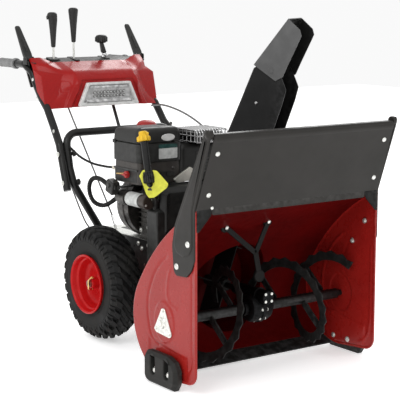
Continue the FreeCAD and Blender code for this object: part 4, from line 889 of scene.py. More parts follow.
def tyre(side):
    """Snow tyre: round-shouldered carcass, sidewall rings and four rows of chunky blocks."""
    half = TYRE_HALF
    outline = [(half - 14, RIM_R - 1), (half - 6, RIM_R), (half - 4, 103), (half - 6, 108), (half - 3.5, 112),
               (half - 1.2, 124), (half - 0.6, 134), (half - 1.2, 143), (half - 0.2, 146), (half - 1.4, 149),
               (half - 4, 158), (half - 9, 166), (half - 17, 175), (30, 182), (18, 185.5), (0, 187)]
    outline = [(-x, r) for x, r in outline] + [(x, r) for x, r in reversed(outline[:-1])]
    centre = side * WHEEL_X
    carcass = lathe(outline + [(half - 16, 104), (-half + 16, 104)], (centre, 0, TYRE_R), (1, 0, 0), 96)
    blocks = []
    count = 28
    pitch = 2 * math.pi / count
    for step in range(count):
        turn = step * pitch
        for hand in SIDES:
            shoulder = turn + (0.5 * pitch if hand > 0 else 0)
            blocks.append(lug(hand * 34, hand * 50, shoulder, pitch * 0.54, (176, 164), (192.5, 182),
                              hand * 0.03))
            blocks.append(lug(hand * 48, hand * 59, shoulder, pitch * 0.44, (162, 148), (183, 165)))
            blocks.append(lug(hand * 49, hand * 59.2, shoulder + pitch / 2, pitch * 0.28, (158, 148),
                              (175, 159)))
            middle = turn + (0.25 * pitch if hand > 0 else 0.75 * pitch)
            blocks.append(lug(hand * 17, hand * 33, middle, pitch * 0.5, (184, 178), (197.6, 192.4),
                              hand * 0.05))
            inner = turn + (0.75 * pitch if hand > 0 else 0.25 * pitch)
            blocks.append(lug(hand * 2, hand * 16, inner, pitch * 0.46, (186, 185), (199.8, 198),
                              hand * 0.04))
    tread = joined(*blocks)
    return joined(carcass, ([(p[0] + centre, p[1], p[2]) for p in tread[0]], tread[1]))


def rim(side):
    """Deep pressed rim with rolled lips, two steps down to the disc, and its hub."""
    outline = [(163, 101), (165, 104), (168, 103.5), (173, 98), (186, 96), (210, 96), (250, 96), (284, 97.5),
               (289, 101), (292, 104), (296, 103.5), (297.5, 101), (296, 98), (292, 95), (280, 92.5),
               (277, 90), (275, 87), (273, 85), (258, 82), (250, 80), (246, 77), (243, 72), (241, 66),
               (240, 56), (240, 42), (243, 36), (246, 30), (248, 22), (252, 19), (272, 18), (275, 16.5),
               (276, 12.7), (135, 12.7), (135, 24), (230, 24), (236, 44), (236, 70), (240, 80), (246, 86),
               (258, 88), (240, 91), (180, 92), (172, 93), (167, 98)]
    return lathe([(side * x, r) for x, r in outline], (0, 0, TYRE_R), (1, 0, 0), 96)


def wheels():
    """Both wheels, with the clip pin through each hub."""
    piece("tyre_pair", joined(tyre(-1), tyre(1)), "tyre", "wheels", ["tyres"], sharp=32)
    piece("rim_pair", joined(rim(-1), rim(1)), "red_rim", "wheels", ["wheel_rims"], sharp=45)
    pins = []
    valves = []
    for side in SIDES:
        x = side * 268
        pins.append(tube([(x, 0, TYRE_R - 22), (x, 0, TYRE_R + 24)], 3.5, 5, 14))
        pins.append(bolt((x, 0, TYRE_R + 18), (0, 0, 1), 6))
        pins.append(tube([(x, 0, TYRE_R - 20), (x + side * 17, -3, TYRE_R - 20),
                          (x + side * 19, -5, TYRE_R + 12), (x + side * 8, -6, TYRE_R + 21)], 3.0, 7, 12))
        pins.append(lathe([(0, 0), (0, 12.7), (5, 12.7), (7, 10.5), (7, 0)], (side * 277, 0, TYRE_R),
                          (side, 0, 0), 32))
        valves.append(lathe([(0, 0), (0, 5), (10, 4), (18, 3.4), (18, 2.6), (24, 2.6), (24, 0)],
                            (side * 240, -52, TYRE_R - 40), (side, 0, 0), 16))
    piece("hub_pins", joined(*pins), "brass", "wheels", sharp=40)
    piece("tyre_valves", joined(*valves), "rubber", "wheels", sharp=40)


# ---------------------------------------------------------------- chute
def in_chute(x, s, z):
    """A point given across, ahead of and above the chute's axis, turned to the stored direction."""
    turn = math.radians(CHUTE_TURN)
    return (x * math.cos(turn) + s * math.sin(turn), CHUTE_Y + x * math.sin(turn) - s * math.cos(turn), z)


def channel(backs, fronts, half, wall, corner):
    """A channel open to the front, skinned through matching (ahead, z) points of back and front."""
    rings = []
    for back, front in zip(backs, fronts):
        back, front = Vector(back), Vector(front)
        depth = max(1.0, (front - back).length)
        path = [(half, 1.0), (half, min(0.9, 0.5 + corner / depth))]
        path += [(half - corner + corner * math.cos(a), corner * (1 - math.sin(a)) / depth)
                 for a in [math.pi / 2 * s / 6 for s in range(7)]]
        path += [(0.0, 0.0)]
        outer = path + [(-x, q) for x, q in reversed(path[:-1])]
        thin = half - wall
        path = [(thin, 1.0), (thin, min(0.9, 0.5 + corner / depth))]
        path += [(thin - corner + corner * math.cos(a), (wall + corner * (1 - math.sin(a))) / depth)
                 for a in [math.pi / 2 * s / 6 for s in range(7)]]
        path += [(0.0, wall / depth)]
        inner = [(-x, q) for x, q in path[:-1]] + list(reversed(path))
        ring = []
        for x, q in outer + inner:
            spot = back + (front - back) * q
            ring.append(in_chute(x, spot.x, spot.y))
        rings.append(ring)
    return loft(rings)


def along(points, share):
    """The point at a share of the way along a broken line."""
    lengths = [(Vector(b) - Vector(a)).length for a, b in zip(points, points[1:])]
    left = share * sum(lengths)
    for (a, b), length in zip(zip(points, points[1:]), lengths):
        if left <= length:
            return tuple(Vector(a) + (Vector(b) - Vector(a)) * (left / length))
        left -= length
    return tuple(points[-1])


def chute():
    """Turning chute: round foot, deck and an open channel with stiffening ribs inside."""
    back = [(-70, 470), (137, 961)]
    front = [(110, 470), (205, 760), (244, 870), (249, 893), (243, 910), (226, 950), (205, 985), (180, 985)]
    heights = [0, 0.2, 0.4, 0.56, 0.7, 0.78, 0.80, 0.83, 0.86, 0.9, 0.94, 0.97, 1.0]
    body = channel([along(back, s) for s in heights], [along(front, s) for s in heights], 75, 3.2, 16)
    foot = lathe([(0, 76), (0, 90), (2, 92), (28, 92), (30, 90), (33, 86), (33, 76)],
                 in_chute(0, 0, 437.5), (0, 0, 1), 56)
    ribs = []
    for x in (-38, 0, 38):
        ring = []
        for share in (0.04, 0.96):
            s, z = along(back, share)
            ring.append([in_chute(x + a, s + 3 + b, z) for a, b in ((-2, 0), (2, 0), (1.2, 6), (-1.2, 6))])
        ribs.append(loft(ring))
    deck = dish(rounded([(-75, -80), (75, -80), (75, 112), (-75, 112)], 18), "z",
                [(463, 0), (468, 0), (470, 2)])
    deck = ([in_chute(x, s, z) for x, s, z in deck[0]], deck[1])
    piece("chute_channel", joined(body, foot, deck, *ribs), "chute", "chute_body", ["chute"], sharp=38)
    screws = []
    for side in SIDES:
        outward = Vector(in_chute(side, 0, 0)) - Vector(in_chute(0, 0, 0))
        screws.append(dome_bolt(in_chute(side * 75, 150, 852), outward, 5))
    piece("chute_screws", joined(*screws), "steel", "chute_body", sharp=40)


def deflector():
    """Hinged cap of the chute, with a rolled hem and hinge pins."""
    back = [(141, 974), (254, 1120)]
    heights = [0.0, 0.02, 0.2, 0.45, 0.7, 0.86, 0.94, 1.0]
    front = [(214, 923), (238, 936), (254, 972), (272, 1010), (292, 1052), (298, 1066), (293, 1084),
             (262, 1113)]
    body = channel([along(back, s) for s in heights], front, 78.5, 3.0, 5)
    pins = [disc(in_chute(side * 76, HINGE_OUT, HINGE_Z), in_chute(side * 80, HINGE_OUT, HINGE_Z), 8)
            for side in SIDES]
    inner = [(s + 4.6, z - 3.4) for s, z in back]
    lining = channel([along(inner, s) for s in heights], [(s - 0.8, z - 0.6) for s, z in front], 75.4, 0.5, 5)
    # A dark sheet just inside the cap: painted shade.
    piece("deflector_shade_lining", lining, "black_shaded", "chute_cap", sharp=38)
    piece("deflector_cap", joined(body, *pins), "cap_grey", "chute_cap", ["deflector"], soften=0.8, steps=2,
          sharp=38)


# ---------------------------------------------------------------- engine
def belt_cover():
    """Moulded belt cover with wide bevels, a raised field and a skirt down to the frame."""
    outline = rounded([(-152, 388), (-152, 538), (-128, 556), (96, 556), (122, 534), (122, 388)], 14)
    shell = dish(outline, "y", [(-190, 0), (-240, 0), (-250, 2), (-262, 13), (-266, 19)])
    field = dish(rounded([(-118, 410), (-118, 516), (-100, 530), (70, 530), (92, 512), (92, 410)], 12), "y",
                 [(-264, 0), (-265.5, 1.5)])
    skirt = dish(rounded([(-122, 270), (-122, 392), (122, 392), (122, 270)], 6), "y",
                 [(-263, 0), (-266, 1.5)])
    ridge = prism([(-122, -263), (-106, -266), (-106, -258), (-122, -258)], "z", 272, 392)
    lip = dish(rounded([(-154, 384), (-154, 392), (124, 392), (124, 384)], 3), "y",
               [(-192, 0), (-244, 0), (-246, 2)])
    column = dish(rounded([(-170, -262), (-102, -262), (-102, -196), (-170, -196)], 8), "z",
                  [(300, 0), (470, 0), (478, 4), (486, 14)])
    piece("belt_guard", joined(shell, field, skirt, ridge, lip, column), "black", "chassis", ["belt_cover"],
          sharp=30)
    places = ((-108, 300), (108, 300), (-100, 372), (100, 372))
    screws = [bolt((x, -265, z), (0, -1, 0), 5) for x, z in places]
    piece("belt_guard_screws", joined(*screws), "zinc", "chassis", sharp=40)


def crankcase():
    """Cast crankcase: foot with bolts, ribbed case, cylinder and finned head."""
    foot = dish(rounded([(-118, -190), (75, -190), (75, -62), (-118, -62)], 10), "z",
                [(353, 0), (365, 0), (367, 1.5)])
    case = dish(rounded([(-116, -200), (60, -200), (60, -62), (-116, -62)], 18), "z",
                [(366, 0), (372, 2), (520, 4), (538, 8), (545, 16)])
    ribs = []
    for z in range(392, 530, 18):
        ribs.append(block(-119, 62, -196, -70, z, z + 4))
    for x in (-100, -72, 20, 44):
        ribs.append(block(x, x + 4, -204, -190, 372, 530))
    barrel = block(60, 92, -176, -84, 420, 540)
    fins = [dish(rounded([(-186, 410), (-74, 410), (-74, 550), (-186, 550)], 12), "x",
                 [(90 + 9 * i, 0), (94 + 9 * i, 0), (95 + 9 * i, 1)]) for i in range(7)]
    core = block(92, 148, -166, -94, 430, 530)
    nose = lathe([(0, 0), (0, 54), (4, 54), (6, 46), (9, 40), (9, 0)], (CRANK_X, -194, CRANK_Z), (0, -1, 0),
                 48)
    piece("crankcase", joined(foot, case, nose, barrel, core, *ribs, *fins), "cast", "chassis",
          ["engine_block"], soften=0.7, steps=2)
    heads = [bolt((x, y, 367), (0, 0, 1), 7) for x in (-106, 64) for y in (-180, -74)]
    heads += [bolt((CRANK_X + 47 * math.cos(a), -198, CRANK_Z + 47 * math.sin(a)), (0, -1, 0), 5)
              for a in [math.radians(30 + 60 * i) for i in range(6)]]
    places = ((-180, 386), (-130, 400), (-84, 386), (-180, 470))
    heads += [bolt((-119, y, z), (-1, 0, 0), 6) for y, z in places]
    piece("crankcase_screws", joined(*heads), "zinc", "chassis", sharp=40)


def cowl_band(x0, x1, y0, y1, levels, radius=18):
    """One storey of a cover: a round-cornered box with a stepped or rounded side."""
    return dish(rounded([(x0, y0), (x1, y0), (x1, y1), (x0, y1)], radius, 8), "z", levels)


def carburettor_box():
    """Tall black cover over the carburettor: lid, seam, body and a darker skirt below."""
    lid = cowl_band(-204, -24, -205, -32, [(700, 6), (703, 1.2), (705, 0), (735, 3), (744, 6), (750, 11),
                                           (753, 18), (755, 30)], 24)
    sloped = []
    for x, y, z in lid[0]:
        drop = max(0, y + 190) * 0.05 + max(0, x + 60) * 0.12
        sloped.append((x, y, z - max(0, z - 703) / 52 * drop))
    lid = (sloped, lid[1])
    body = cowl_band(-203, -25, -204, -33, [(636, 2), (638, 0), (698, 0), (701, 5)], 20)
    skirt = cowl_band(-198, -28, -199, -37, [(562, 0), (606, 0), (637, 1)], 16)
    tab = dish(rounded([(-60, 694), (-60, 708), (-44, 708), (-44, 694)], 3), "y", [(-204, 0), (-207, 1)])
    ear = dish(rounded([(-208, -60), (-200, -60), (-200, -44), (-208, -44)], 3), "z", [(694, 0), (706, 0)])
    piece("carburettor_cover", joined(lid, body, tab, ear), "black", "chassis", ["heater_box"], sharp=28)
    piece("carburettor_skirt", skirt, "grey_dark", "chassis", sharp=28)
    field = dish(rounded([(-182, 566), (-182, 606), (-44, 606), (-44, 566)], 5), "x",
                 [(-197.6, 0), (-199, 1.2)])
    ledge = dish(rounded([(-190, 606), (-190, 612), (-40, 612), (-40, 606)], 2), "x",
                 [(-197.6, 0), (-201, 0)])
    piece("control_field", joined(field, ledge), "black", "chassis", sharp=28)
    arm = tube([(-201, -60, 588), (-201, -118, 594)], 2.4, 1, 12)
    pointer = dish(rounded([(-112, 588), (-112, 597), (-66, 591), (-66, 585)], 3), "x",
                   [(-199, 0), (-201.5, 0.8)])
    piece("choke_arm", arm, "brass", "chassis", sharp=40)
    piece("choke_scale", pointer, "red_plastic", "chassis", sharp=40)
    foot = [dome_bolt((-62, -199, 612), (0, -1, 0), 6), block(-92, -58, -204, -198, 586, 600),
            block(-120, -98, -203, -198, 588, 602)]
    piece("carburettor_links", joined(*foot), "grey_metal", "chassis", soften=0.8, steps=2)


def blank_labels():
    """Plain badge and label in the places where the maker's would be, with nothing on them."""
    oval = [(-86 + 27 * math.cos(a), 718 + 12 * math.sin(a)) for a in [math.pi * i / 16 for i in range(32)]]
    badge = dish(oval, "y", [(-204.4, 0), (-206, 0), (-206.6, 1)])
    piece("blank_badge", badge, "silver", "chassis", sharp=30)
    label = dish(rounded([(-123, 646), (-48, 646), (-48, 682), (-123, 682)], 3), "y",
                 [(-203.8, 0), (-204.6, 0)])
    piece("blank_label", label, "label", "chassis", sharp=30)
    band = dish(rounded([(-123, 681), (-48, 681), (-48, 695), (-123, 695)], 3), "y",
                [(-203.8, 0), (-204.6, 0)])
    piece("blank_label_band", band, "label_band", "chassis", sharp=30)


def cylinder_cowl():
    """Black cowl over the cylinder, with louvres, and the heat shield beside it."""
    body = cowl_band(-36, 150, -205, -32, [(562, 1), (565, 0), (670, 2), (682, 6), (688, 12), (690, 20)], 20)
    louvres = []
    for i in range(7):
        z = 590 + 11 * i
        louvres.append(prism([(-206, z), (-204, z + 6), (-204, z - 1)], "x", 30, 128))
        louvres.append(prism([(151, z), (149, z + 6), (149, z - 1)], "y", -180, -60))
    piece("cylinder_cover", joined(body, *louvres), "black", "chassis", ["engine_shroud"], sharp=28)
    shield = dish(rounded([(-70, 574), (-2, 612), (10, 606), (6, 566), (-54, 560)], 5), "y",
                  [(-206, 0), (-213, 0), (-214, 1)])
    piece("heat_shield", shield, "beige", "chassis", sharp=30)


def fan_housing():
    """Round fan housing with pressed rings, vent slots and the recoil starter's dome."""
    y = -60
    drum = lathe([(0, 100), (0, 108), (2, 112), (60, 113), (78, 109), (88, 100), (92, 92), (96, 86),
                  (104, 80), (108, 70), (110, 58), (109, 50), (104, 44), (96, 42), (96, 0), (0, 0)],
                 (CRANK_X, y, CRANK_Z), (0, 1, 0), 72)
    collar = lathe([(30, 111), (32, 115), (36, 115), (38, 111)], (CRANK_X, y, CRANK_Z), (0, 1, 0), 72)
    piece("fan_cover", joined(drum, collar), "grey_metal", "chassis", ["blower_housing"], sharp=34)
    slots = []
    for ring, radius in ((0, 63), (1, 76)):
        for i in range(20):
            turn = 2 * math.pi * (i + ring * 0.5) / 20
            spot = Vector((CRANK_X + radius * math.cos(turn), y + 107 - ring * 5,
                           CRANK_Z + radius * math.sin(turn)))
            slots.append(lathe([(0, 0), (0, 3.6), (2.5, 3.2), (2.5, 0)], spot, (0, 1, 0), 10))
    guide = dish(rounded([(40, 500), (66, 500), (66, 545), (40, 545)], 5), "y", [(28, 0), (41, 0), (43.5, 2)])
    hub = lathe([(0, 0), (0, 40), (4, 38), (6, 30), (6, 0)], (CRANK_X, y + 96, CRANK_Z), (0, 1, 0), 40)
    piece("fan_vents", joined(*slots, hub, guide), "black", "chassis", sharp=40)
    grip = sweep([Vector((25 + 56 * s / 10, 56, 522)) for s in range(11)],
                 [5.5, 8.4, 9, 8.6, 8.2, 8, 8.2, 8.6, 9, 8.4, 5.5], 24)
    stem = lathe([(0, 0), (0, 7), (6, 5.5), (10, 6.5), (10, 0)], (53, 44.5, 522), (0, 1, 0), 24)
    piece("recoil_grip", joined(grip, stem), "black", "recoil_pull", ["recoil_handle"], sharp=40)


def fuel_tank():
    """Pressed tank with its welded seam, strap and neck, and the domed cap."""
    body = cowl_band(-112, 118, -29, 66, [(592, 14), (594, 6), (600, 0), (660, 0), (662, -2), (666, -2),
                                          (668, 0), (710, 0), (718, 5), (722, 14)], 22)
    neck = lathe([(0, 25), (0, 31), (8, 29), (20, 28), (20, 25)], (-33, 10, 716), (0, 0, 1), 40)
    stands = [block(x, x + 16, 2, 22, 560, 594) for x in (-96, 14)]
    piece("tank_body", joined(body, neck, *stands), "black_tube", "chassis", ["fuel_tank"], sharp=30)
    dome = lathe([(0, 0), (0, 33), (1.5, 34), (18, 34), (21, 33), (25, 30.5), (28, 26.5), (31, 20), (33, 10),
                  (34, 0)], (-33, 10, 723), (0, 0, 1), 64)
    ridges = [lathe([(0, 0), (0, 1.7), (17, 1.7), (18, 0.8), (18, 0)],
                    (-33 + 33.6 * math.cos(a), 10 + 33.6 * math.sin(a), 724), (0, 0, 1), 10)
              for a in [2 * math.pi * i / 30 for i in range(30)]]
    piece("tank_cap_dome", joined(dome, *ridges), "red_plastic", "tank_cap", ["fuel_cap"], sharp=34)


def dipstick():
    """Oil filler: black tube with a ribbed collar, yellow winged cap and the paper tag on it."""
    points = [(-146, -226, 470), (-158, -240, 500), (-176, -262, 532), tuple(FILLER_KNEE), tuple(FILLER_TOP)]
    up = (FILLER_TOP - FILLER_KNEE).normalized()
    collar = [(0, 0)]
    for rib in range(8):
        collar += [(rib * 5, 13.5), (rib * 5 + 1, 17.5), (rib * 5 + 3, 17.5), (rib * 5 + 4, 13.5)]
    collar.append((40, 0))
    rim = lathe([(0, 0), (0, 13.5), (6, 14), (7, 13), (7, 0)], FILLER_TOP - up * 7, up, 32)
    teeth = []
    for i in range(16):
        away = Matrix.Rotation(2 * math.pi * i / 16, 3, up) @ up.orthogonal().normalized() * 17
        teeth.append(lathe([(0, 0), (0, 3), (36, 3), (36, 0)], FILLER_KNEE + up * 8 + away, up, 8))
    tube_shape = tube(points, 12, 22, 24)
    piece("filler_tube", joined(tube_shape, lathe(collar, FILLER_KNEE + up * 6, up, 32), rim, *teeth),
          "black_tube", "chassis", ["dipstick_tube"], sharp=40)
    base = FILLER_TOP + up * 0.5
    lid = lathe([(0, 0), (0, 20), (2, 21.5), (13, 21), (17, 19), (20, 15), (22, 14), (30, 14.5), (33, 12.5),
                 (34, 9), (34, 0)], base, up, 40)
    wings = []
    for i in range(10):
        away = Matrix.Rotation(2 * math.pi * i / 10, 3, up) @ up.orthogonal().normalized() * 20
        wings.append(lathe([(1, 0), (1, 3.4), (13, 3.2), (16, 2), (16, 0)], base + away, up, 10))
    grip = dish(rounded([(-16, 20), (16, 20), (16, 31), (-16, 31)], 5), "y", [(-4, 0), (4, 0)])
    grip = moved(grip, Matrix.Rotation(math.radians(-35), 3, "Z"))
    grip = ([tuple(Vector(p) + base) for p in grip[0]], grip[1])
    stick = tube([tuple(base - up * 110), tuple(base)], 2.5, 1, 12)
    piece("filler_cap", joined(lid, grip, stick, *wings), "yellow", "oil_dipstick", ["dipstick_cap"],
          soften=0.5, steps=2)


def hang_tag():
    """Blank yellow tag with a notch that clips round the filler's ribbed collar."""
    centre = FILLER_KNEE + (FILLER_TOP - FILLER_KNEE).normalized() * 27
    across = Vector((0.817, -0.577, 0))
    away = Vector((-0.577, -0.817, 0))
    bite = [(19 * math.cos(math.radians(a)), 19 * math.sin(math.radians(a))) for a in range(55, -236, -15)]
    edge = [(-13, 25), (-20, 23), (-31, 5), (-20, -21), (-8, -52), (1.5, -65), (20, -63), (60, -33),
            (66, -21), (27, 22), (14, 24)]
    outline = rounded(edge + bite, [2, 4, 4, 12, 10, 8, 8, 8, 8, 8, 2] + [0] * len(bite), 4)
    sheet = dish(outline, "y", [(0, 0), (1.2, 0)])
    points = []
    for x, y, z in sheet[0]:
        lifted = y + 3 + 0.0016 * x * x + 0.5 * max(0, -z - 12)
        points.append(tuple(centre + across * x + away * lifted + Vector((0, 0, z))))
    piece("hang_tag", (points, sheet[1]), "tag", "chassis", sharp=30)
    dots = []
    for x, z in ((38, -13), (4, -40)):
        spot = centre + across * x + away * (5.2 + 0.0016 * x * x + 0.5 * max(0, -z - 12)) + Vector((0, 0, z))
        dots.append(lathe([(0, 0), (0, 7), (0.5, 7), (0.5, 0)], spot, away, 20))
    piece("hang_tag_dots", joined(*dots), "grey_dark", "chassis", sharp=30)


def starter():
    """Electric starter: brown front cap, blank band, grey rear dome, and its switch box."""
    x, z = -186, 508
    front = lathe([(0, 0), (0, 19), (2, 23), (5, 24.6), (29, 24.6), (29, 0)], (x, -240, z), (0, 1, 0), 48)
    ring = lathe([(28, 0), (28, 23.6), (42, 23.6), (42, 0)], (x, -240, z), (0, 1, 0), 48)
    band = lathe([(41.5, 0), (41.5, 24.4), (116, 24.4), (116, 0)], (x, -240, z), (0, 1, 0), 48)
    rear = lathe([(116, 0), (116, 23), (124, 23), (125, 26), (160, 27), (176, 25), (188, 20), (194, 12),
                  (197, 0)],
                 (x, -240, z), (0, 1, 0), 48)
    screws = [bolt((x + 16 * math.cos(a), -239, z + 16 * math.sin(a)), (0, -1, 0), 3.2) for a in (0.6, 3.74)]
    piece("starter_front", joined(front, block(-165, -118, -185, -120, 494, 522)), "brown", "chassis",
          ["starter_motor"], sharp=34)
    piece("starter_rear", joined(ring, rear), "grey_metal", "chassis", sharp=34)
    piece("starter_band", band, "label", "chassis", sharp=34)
    piece("starter_screws", joined(*screws), "zinc", "chassis", sharp=34)
    box = dish(rounded([(-240, -92), (-209, -92), (-209, -48), (-240, -48)], 5), "z",
               [(522, 3), (526, 0), (562, 0), (568, 3)])
    box = moved(box, Matrix.Rotation(math.radians(16), 3, "X"), (-224, -70, 545))
    arm = block(-212, -118.5, -84, -62, 540, 545)
    prongs = [block(-233 + 9 * i, -229 + 9 * i, -98, -92, 538, 552) for i in range(3)]
    button = lathe([(0, 0), (0, 8), (5, 7), (5, 0)], (-240, -70, 550), (-1, 0, 0), 24)
    piece("start_switch", joined(box, arm, button, *prongs), "black", "chassis", ["switch_box"], sharp=34)


def soft(points, rounds=3):
    """A route with its corners cut again and again, so that it curves like a flexible lead."""
    line = [Vector(p) for p in points]
    for _ in range(rounds):
        cut = [line[0]]
        for a, b in zip(line, line[1:]):
            cut += [a * 0.75 + b * 0.25, a * 0.25 + b * 0.75]
        line = cut + [line[-1]]
    return line


def leads():
    """Ribbed starter lead in its loop, and the work light's lead with its connector."""
    line = soft([(-224, -46.5, 545), (-226, 10, 566), (-230, 62, 560), (-230, 84, 520), (-224, 66, 474),
                 (-206, 26, 462), (-190, -2, 478), (-186, -36, 500)])
    fine = []
    for a, b in zip(line, line[1:]):
        parts = max(1, int((b - a).length / 2.4))
        fine += [a + (b - a) * i / parts for i in range(parts)]
    ribbed = sweep(fine, [8.4 if i % 2 else 6.8 for i in range(len(fine))], 14)
    light = sweep(soft([(-225, 218, 652), (-214, 170, 622), (-200, 110, 604), (-190, 50, 600), (-182, 6, 600),
                        (-178, -30, 602)]), 4.2, 12)
    piece("lead_tubes", joined(ribbed, light), "rubber", "chassis", ["engine_leads"], sharp=50)
    plug = lathe([(0, 0), (0, 7), (12, 7), (14, 5), (14, 0)], (-182, -8, 601), (0.2, -1, 0.05), 20)
    piece("lead_plug", plug, "cream", "chassis", sharp=40)


def choke():
    """Red choke knob with its finger bar on the right side of the carburettor box."""
    x, y, z = -198, -130, 592
    knob = lathe([(1, 0), (1, 10), (3, 12), (11, 12), (14, 10), (14, 0)], (x, y, z), (-1, 0, 0), 32)
    stem = lathe([(-8, 0), (-8, 5), (2, 5), (2, 0)], (x, y, z), (-1, 0, 0), 16)
    bar = dish(rounded([(y - 12, z - 3.5), (y + 12, z - 3.5), (y + 12, z + 3.5), (y - 12, z + 3.5)], 3), "x",
               [(x - 10, 0), (x - 20, 1)])
    piece("choke_grip", joined(knob, stem, bar), "red_plastic", "choke", ["choke_knob"], soften=0.6, steps=2)


def exhaust():
    """Silencer with a pressed seam under its welded wire guard."""
    body = dish(rounded([(-240, 694), (-120, 694), (-120, 728), (-240, 728)], 14), "x",
                [(6, 4), (8, 0), (54, 0), (55, -2), (59, -2), (60, 0), (116, 0), (118, 4)])
    piece("silencer", body, "dark_steel", "chassis", ["muffler"], sharp=30)
    x0, x1, y0, y1, z0, z1 = 0, 128, -254, -106, 696, 738
    wires = []
    for i in range(12):
        x = x0 + (x1 - x0) * i / 11
        wires.append(tube([(x, y0, z0), (x, y0, z1), (x, y1, z1), (x, y1, z0)], 2.4, 14, 10))
    for i in range(3):
        y = y0 + 34 + (y1 - y0 - 68) * i / 2
        wires.append(tube([(x0, y, z1 - 4), (x1, y, z1 - 4)], 2.4, 1, 10))
    for i in range(6):
        y = y0 + 14 + (y1 - y0 - 28) * i / 5
        for x in (x0, x1):
            wires.append(tube([(x, y, z0), (x, y, z1)], 2.2, 1, 10))
    for z in (698, 718):
        for y in (y0, y1):
            wires.append(tube([(x0, y, z), (x1, y, z)], 2.4, 1, 10))
    for z in (698, 718):
        for x in (x0, x1):
            wires.append(tube([(x, y0, z), (x, y1, z)], 2.4, 1, 10))
    piece("silencer_guard", joined(*wires), "chrome", "chassis", ["muffler_guard"], sharp=60)


# ---------------------------------------------------------------- handles and console
def upper_path(side):
    """Route of an upper tube from the lower handle's leg to the end of the grip."""
    return [(side * 254, 190, 500), (side * 250, 250, 660), (side * 238, 310, 716), (side * 235, 364, 782),
            (side * 233, 402, 810), (side * 230, 448, 856), (side * 232, 478, 906),
            (side * GRIP_X, 520, GRIP_Z), (side * GRIP_X, 706, GRIP_Z)]


def handles():
    """Bent tubes of both handles, with their clamp bolts and knobs."""
    right = [(-124.2, 184, 310), (-124.2, 186, 352), (-222, 200, 520), (-LEG_X, 223, 578), (-LEG_X, 250, 700)]
    left = [(-x, y, z) for x, y, z in reversed(right)]
    piece("handle_low", tube(right + left, TUBE, 45, 28), "black_tube", "chassis", ["lower_handle"], sharp=40)
    uppers = []
    for side in SIDES:
        uppers.append(tube(upper_path(side), TUBE, 26, 28))
        x = side * GRIP_X
        for middle in (x - 14.3, x + 14.3):
            uppers.append(dish(rounded([(474, GRIP_Z + 1), (502, GRIP_Z + 1), (502, LEVER_Z + 9),
                                        (474, LEVER_Z + 9)],
                                       [0, 0, 9, 9]), "x", [(middle - 1.8, 0), (middle + 1.8, 0)]))
        uppers.append(disc((x - 18, LEVER_Y, LEVER_Z), (x + 18, LEVER_Y, LEVER_Z), 3.2, 0.6, 16))
    piece("handle_up", joined(*uppers), "black_tube", "chassis", ["upper_handles"], sharp=40)
    bolts = []
    knobs = []
    for side in SIDES:
        for y, z in ((198, 528), (229, 628)):
            bolts.append(bolt((side * 268, y, z), (side, 0, 0), 7))
            knobs.append(lathe([(0, 0), (0, 7), (4, 8), (6, 13), (10, 13), (12, 10), (12, 0)],
                               (side * 211, y, z), (-side, 0, 0), 6))
        bolts.append(bolt((side * 138, 184, 332), (side, 0, 0), 7))
        bolts.append(bolt((side * 254, 282, 706), (side, 0.2, 0), 5))
    piece("handle_screws", joined(*bolts), "zinc", "chassis", ["handle_bolts"], sharp=40)
    piece("handle_knobs", joined(*knobs), "black", "chassis", sharp=30)


def grips():
    """Ribbed grey rubber grips with a flange at the lever and a rounded end."""
    outline = [(584, TUBE), (584, 19), (587, 20.5), (595, 20.5), (597, 17)]
    for rib in range(15):
        y = 600 + rib * 6.6
        outline += [(y, 15.4), (y + 1.6, 16.7), (y + 4.4, 16.7)]
    outline += [(701, 15.6), (703, 17.4), (707, 16.6), (709.6, 13), (710, 9), (710, 0), (706, 0), (706, TUBE)]
    shapes = [lathe(outline, (side * GRIP_X, 0, GRIP_Z), (0, 1, 0), 40) for side in SIDES]
    piece("grip_pair", joined(*shapes), "grip", "chassis", ["hand_grips"], sharp=36)


def clutch_levers():
    """Paddle levers: a ribbed black blade with a thumb pad, on its hub."""
    root = Vector((0, LEVER_Y, LEVER_Z))
    tip = Vector((0, 576, 1074))
    reach = (tip - root).length
    tilt = math.atan2(tip.z - root.z, tip.y - root.y)
    for side, name in ((-1, "right"), (1, "left")):
        x = side * GRIP_X
        rings = []
        for share, wide, thick in ((0.0, 15, 7), (0.12, 16.5, 8), (0.3, 15.5, 7.4), (0.5, 14, 6.6),
                                   (0.7, 12.4, 6), (0.9, 10.8, 5.4), (0.97, 10, 4.6), (1.0, 7, 3)):
            ring = rounded([(-wide, -thick), (wide, -thick), (wide, thick), (-wide, thick)], 3, 3)
            rings.append([(a, share * reach, b) for a, b in ring])
        blade = loft(rings)
        spine = dish(rounded([(-6, 0.2 * reach), (6, 0.2 * reach), (4, 0.6 * reach), (-4, 0.6 * reach)], 3),
                     "z", [(5, 0), (9, 1.4)])
        lever = moved(joined(blade, spine), Matrix.Rotation(tilt, 3, "X"))
        lever = ([(p[0] + x, p[1] + LEVER_Y, p[2] + LEVER_Z) for p in lever[0]], lever[1])
        hub = disc((x - 12, LEVER_Y, LEVER_Z), (x + 12, LEVER_Y, LEVER_Z), 8)
        piece("lever_paddle_" + name, joined(lever, hub), "black", "lever_" + name, ["clutch_lever_" + name],
              sharp=40)


